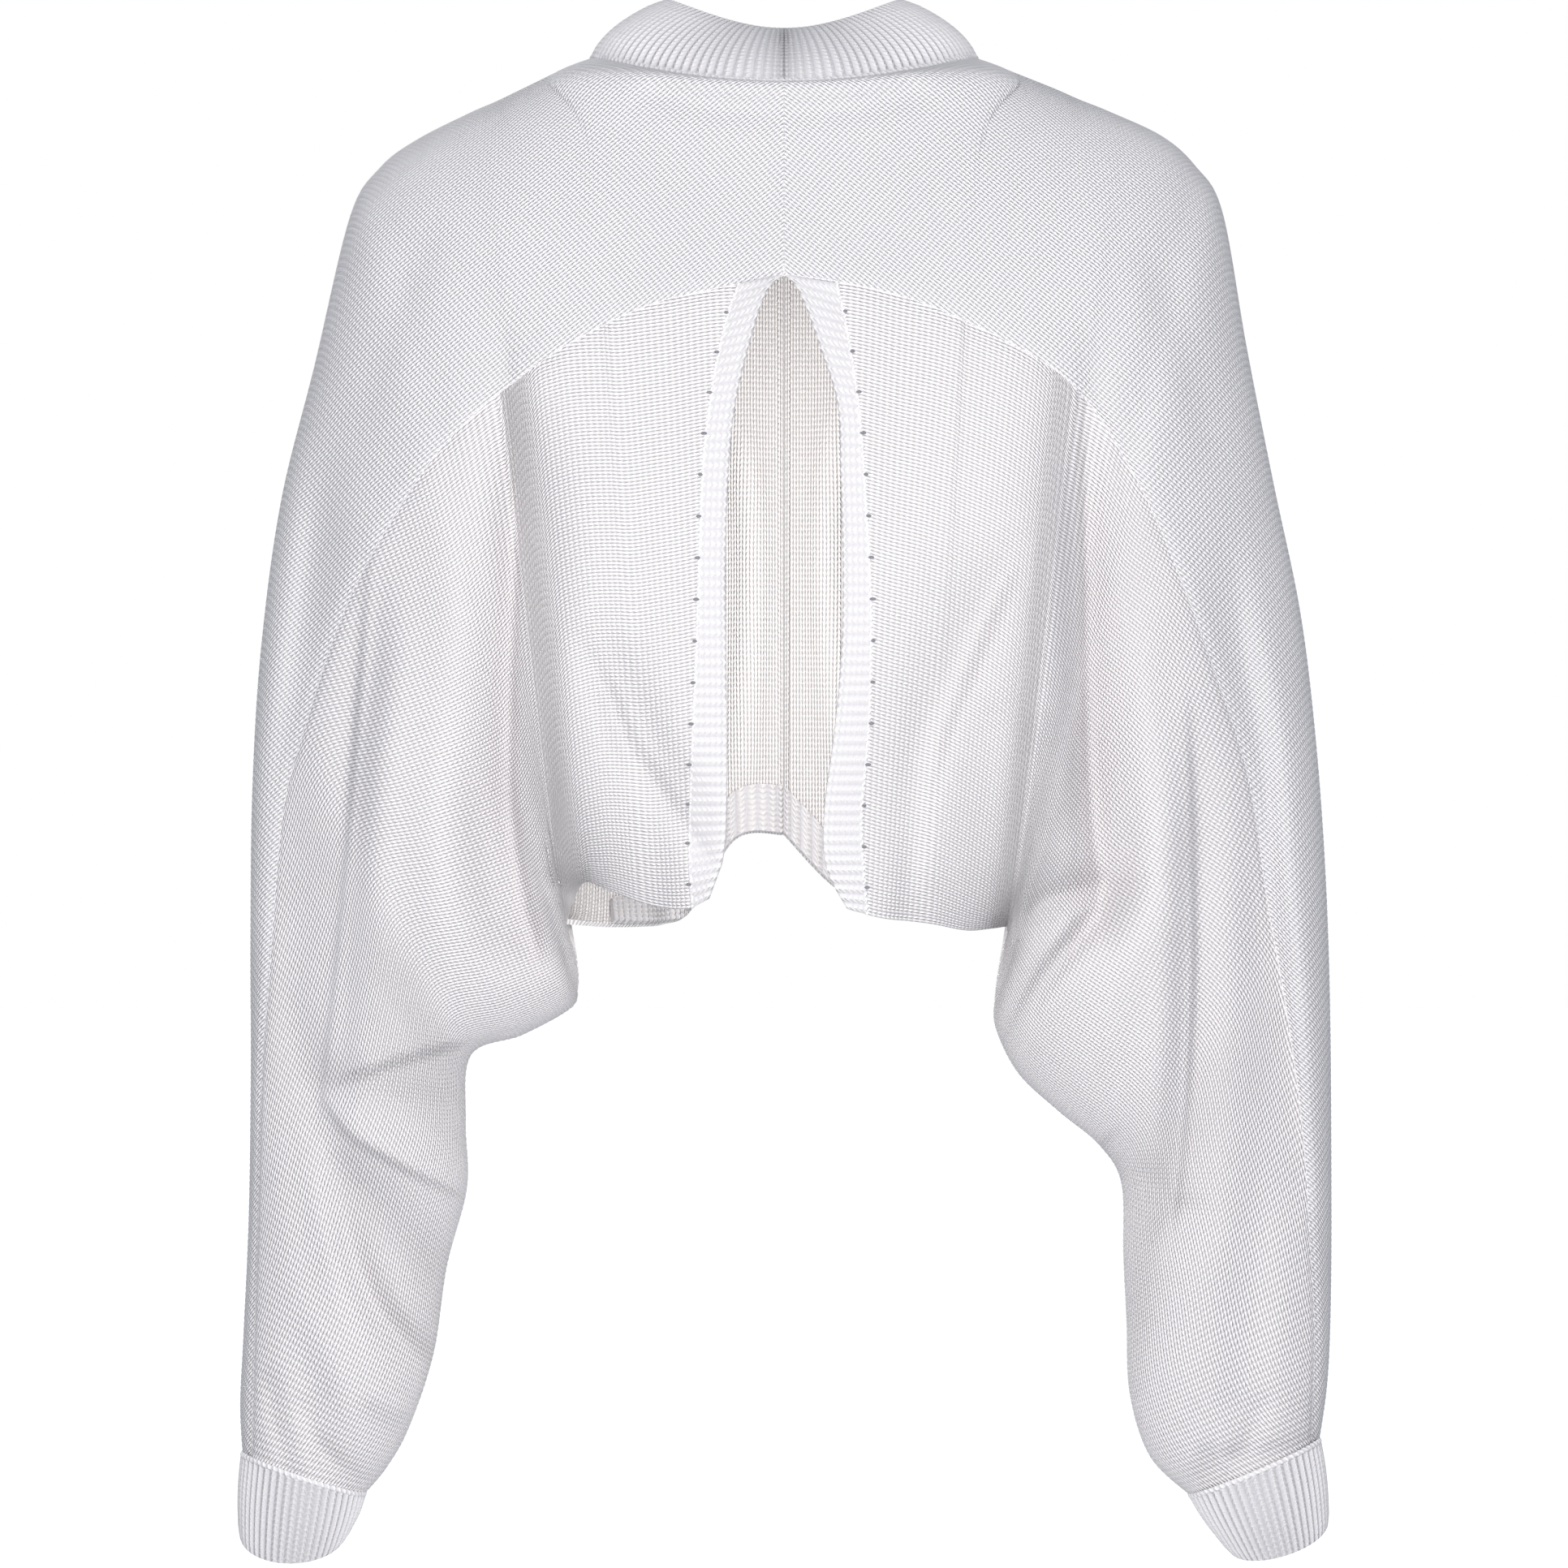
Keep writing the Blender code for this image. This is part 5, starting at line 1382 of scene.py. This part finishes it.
class SWEATER_OT_stage(bpy.types.Operator):
    """Makes the pale floor, the soft lights and the camera"""

    bl_idname = "sweater.stage"
    bl_label = "Add Stage"

    def execute(self, context):
        stage = context.scene.sweater_stage
        bpy.ops.object.select_all(action="DESELECT")
        bpy.ops.mesh.primitive_plane_add(size=FLOOR_SIZE, location=(0, 0, -stage.floor_drop))
        floor = context.object
        floor.name = "studio_floor"
        floor.data.materials.append(paper_finish("white_paper", PAPER_COLOUR))
        context.scene.view_settings.view_transform = "Standard"
        self.sky(context, stage.sky_strength)
        self.light("key_light", KEY_PLACE, KEY_SIZE, KEY_SIZE, stage.key_power, MIDDLE)
        self.light("top_light", TOP_PLACE, TOP_SIZE, TOP_SIZE, stage.top_power, TOP_AIM)
        self.light("face_light", FACE_PLACE, FACE_SIZE, FACE_SIZE, stage.face_power, MIDDLE)
        self.light("hollow_light", HOLLOW_PLACE, HOLLOW_WIDTH, HOLLOW_HEIGHT, stage.hollow_power,
                   HOLLOW_AIM)
        camera = bpy.data.cameras.new("camera")
        camera.lens = camera.sensor_width * stage.camera_distance / stage.frame_width
        thing = bpy.data.objects.new("camera", camera)
        thing.location = (0, stage.camera_distance, stage.camera_height)
        thing.rotation_euler = (np.pi / 2, 0, np.pi)
        context.scene.collection.objects.link(thing)
        context.scene.camera = thing
        return {"FINISHED"}

    def light(self, name, place, width, height, power, target):
        data = bpy.data.lights.new(name, "AREA")
        data.shape = "RECTANGLE"
        data.size = width
        data.size_y = height
        data.energy = power
        data.color = LAMP_COLOUR
        thing = bpy.data.objects.new(name, data)
        thing.location = place
        thing.visible_camera = False
        aim = Vector(target) - Vector(place)
        thing.rotation_euler = aim.to_track_quat("-Z", "Y").to_euler()
        bpy.context.scene.collection.objects.link(thing)

    def sky(self, context, strength):
        """White behind the sweater, and a cooler, dimmer room to its sides and above."""
        world = bpy.data.worlds.new("studio_room")
        world.use_nodes = True
        context.scene.world = world
        tree = world.node_tree
        spot = tree.nodes.new("ShaderNodeTexCoord")
        parts = tree.nodes.new("ShaderNodeSeparateXYZ")
        span = tree.nodes.new("ShaderNodeMapRange")
        mix = tree.nodes.new("ShaderNodeMix")
        mix.data_type = "RGBA"
        tree.links.new(spot.outputs["Generated"], parts.inputs[0])
        tree.links.new(parts.outputs["Y"], span.inputs["Value"])
        span.inputs["From Min"].default_value = BACKDROP[0]
        span.inputs["From Max"].default_value = BACKDROP[1]
        tree.links.new(span.outputs["Result"], mix.inputs[0])
        mix.inputs[6].default_value = (1.0, 1.0, 1.0, 1)
        mix.inputs[7].default_value = (*[part * strength for part in ROOM_COLOUR], 1)
        tree.links.new(mix.outputs[2], tree.nodes["Background"].inputs["Color"])
        tree.nodes["Background"].inputs["Strength"].default_value = 1.0


class SWEATER_PT_panel(bpy.types.Panel):
    """Buttons for each group of pieces"""

    bl_label = "Batwing Sweater"
    bl_idname = "SWEATER_PT_panel"
    bl_space_type = "VIEW_3D"
    bl_region_type = "UI"
    bl_category = "Sweater"

    def draw(self, context):
        for group in (context.scene.sweater, context.scene.sweater_stage):
            box = self.layout.box()
            for key in group.__annotations__:
                box.prop(group, key)
        for kind in OPERATORS:
            self.layout.operator(kind.bl_idname)


OPERATORS = (SWEATER_OT_yokes, SWEATER_OT_back_panels, SWEATER_OT_front, SWEATER_OT_slit_bands,
             SWEATER_OT_neckband, SWEATER_OT_cuffs, SWEATER_OT_hem_bands, SWEATER_OT_seams,
             SWEATER_OT_stage)
CLASSES = (SweaterSizes, StageSizes) + OPERATORS + (SWEATER_PT_panel,)


def register():
    for kind in CLASSES:
        bpy.utils.register_class(kind)
    bpy.types.Scene.sweater = bpy.props.PointerProperty(type=SweaterSizes)
    bpy.types.Scene.sweater_stage = bpy.props.PointerProperty(type=StageSizes)


def unregister():
    del bpy.types.Scene.sweater_stage
    del bpy.types.Scene.sweater
    for kind in reversed(CLASSES):
        bpy.utils.unregister_class(kind)


def main():
    register()
    bpy.ops.sweater.yokes()
    bpy.ops.sweater.back_panels()
    bpy.ops.sweater.front()
    bpy.ops.sweater.slit_bands()
    bpy.ops.sweater.neckband()
    bpy.ops.sweater.cuffs()
    bpy.ops.sweater.hem_bands()
    bpy.ops.sweater.seams()
    bpy.ops.sweater.stage()


if __name__ == "__main__":
    main()
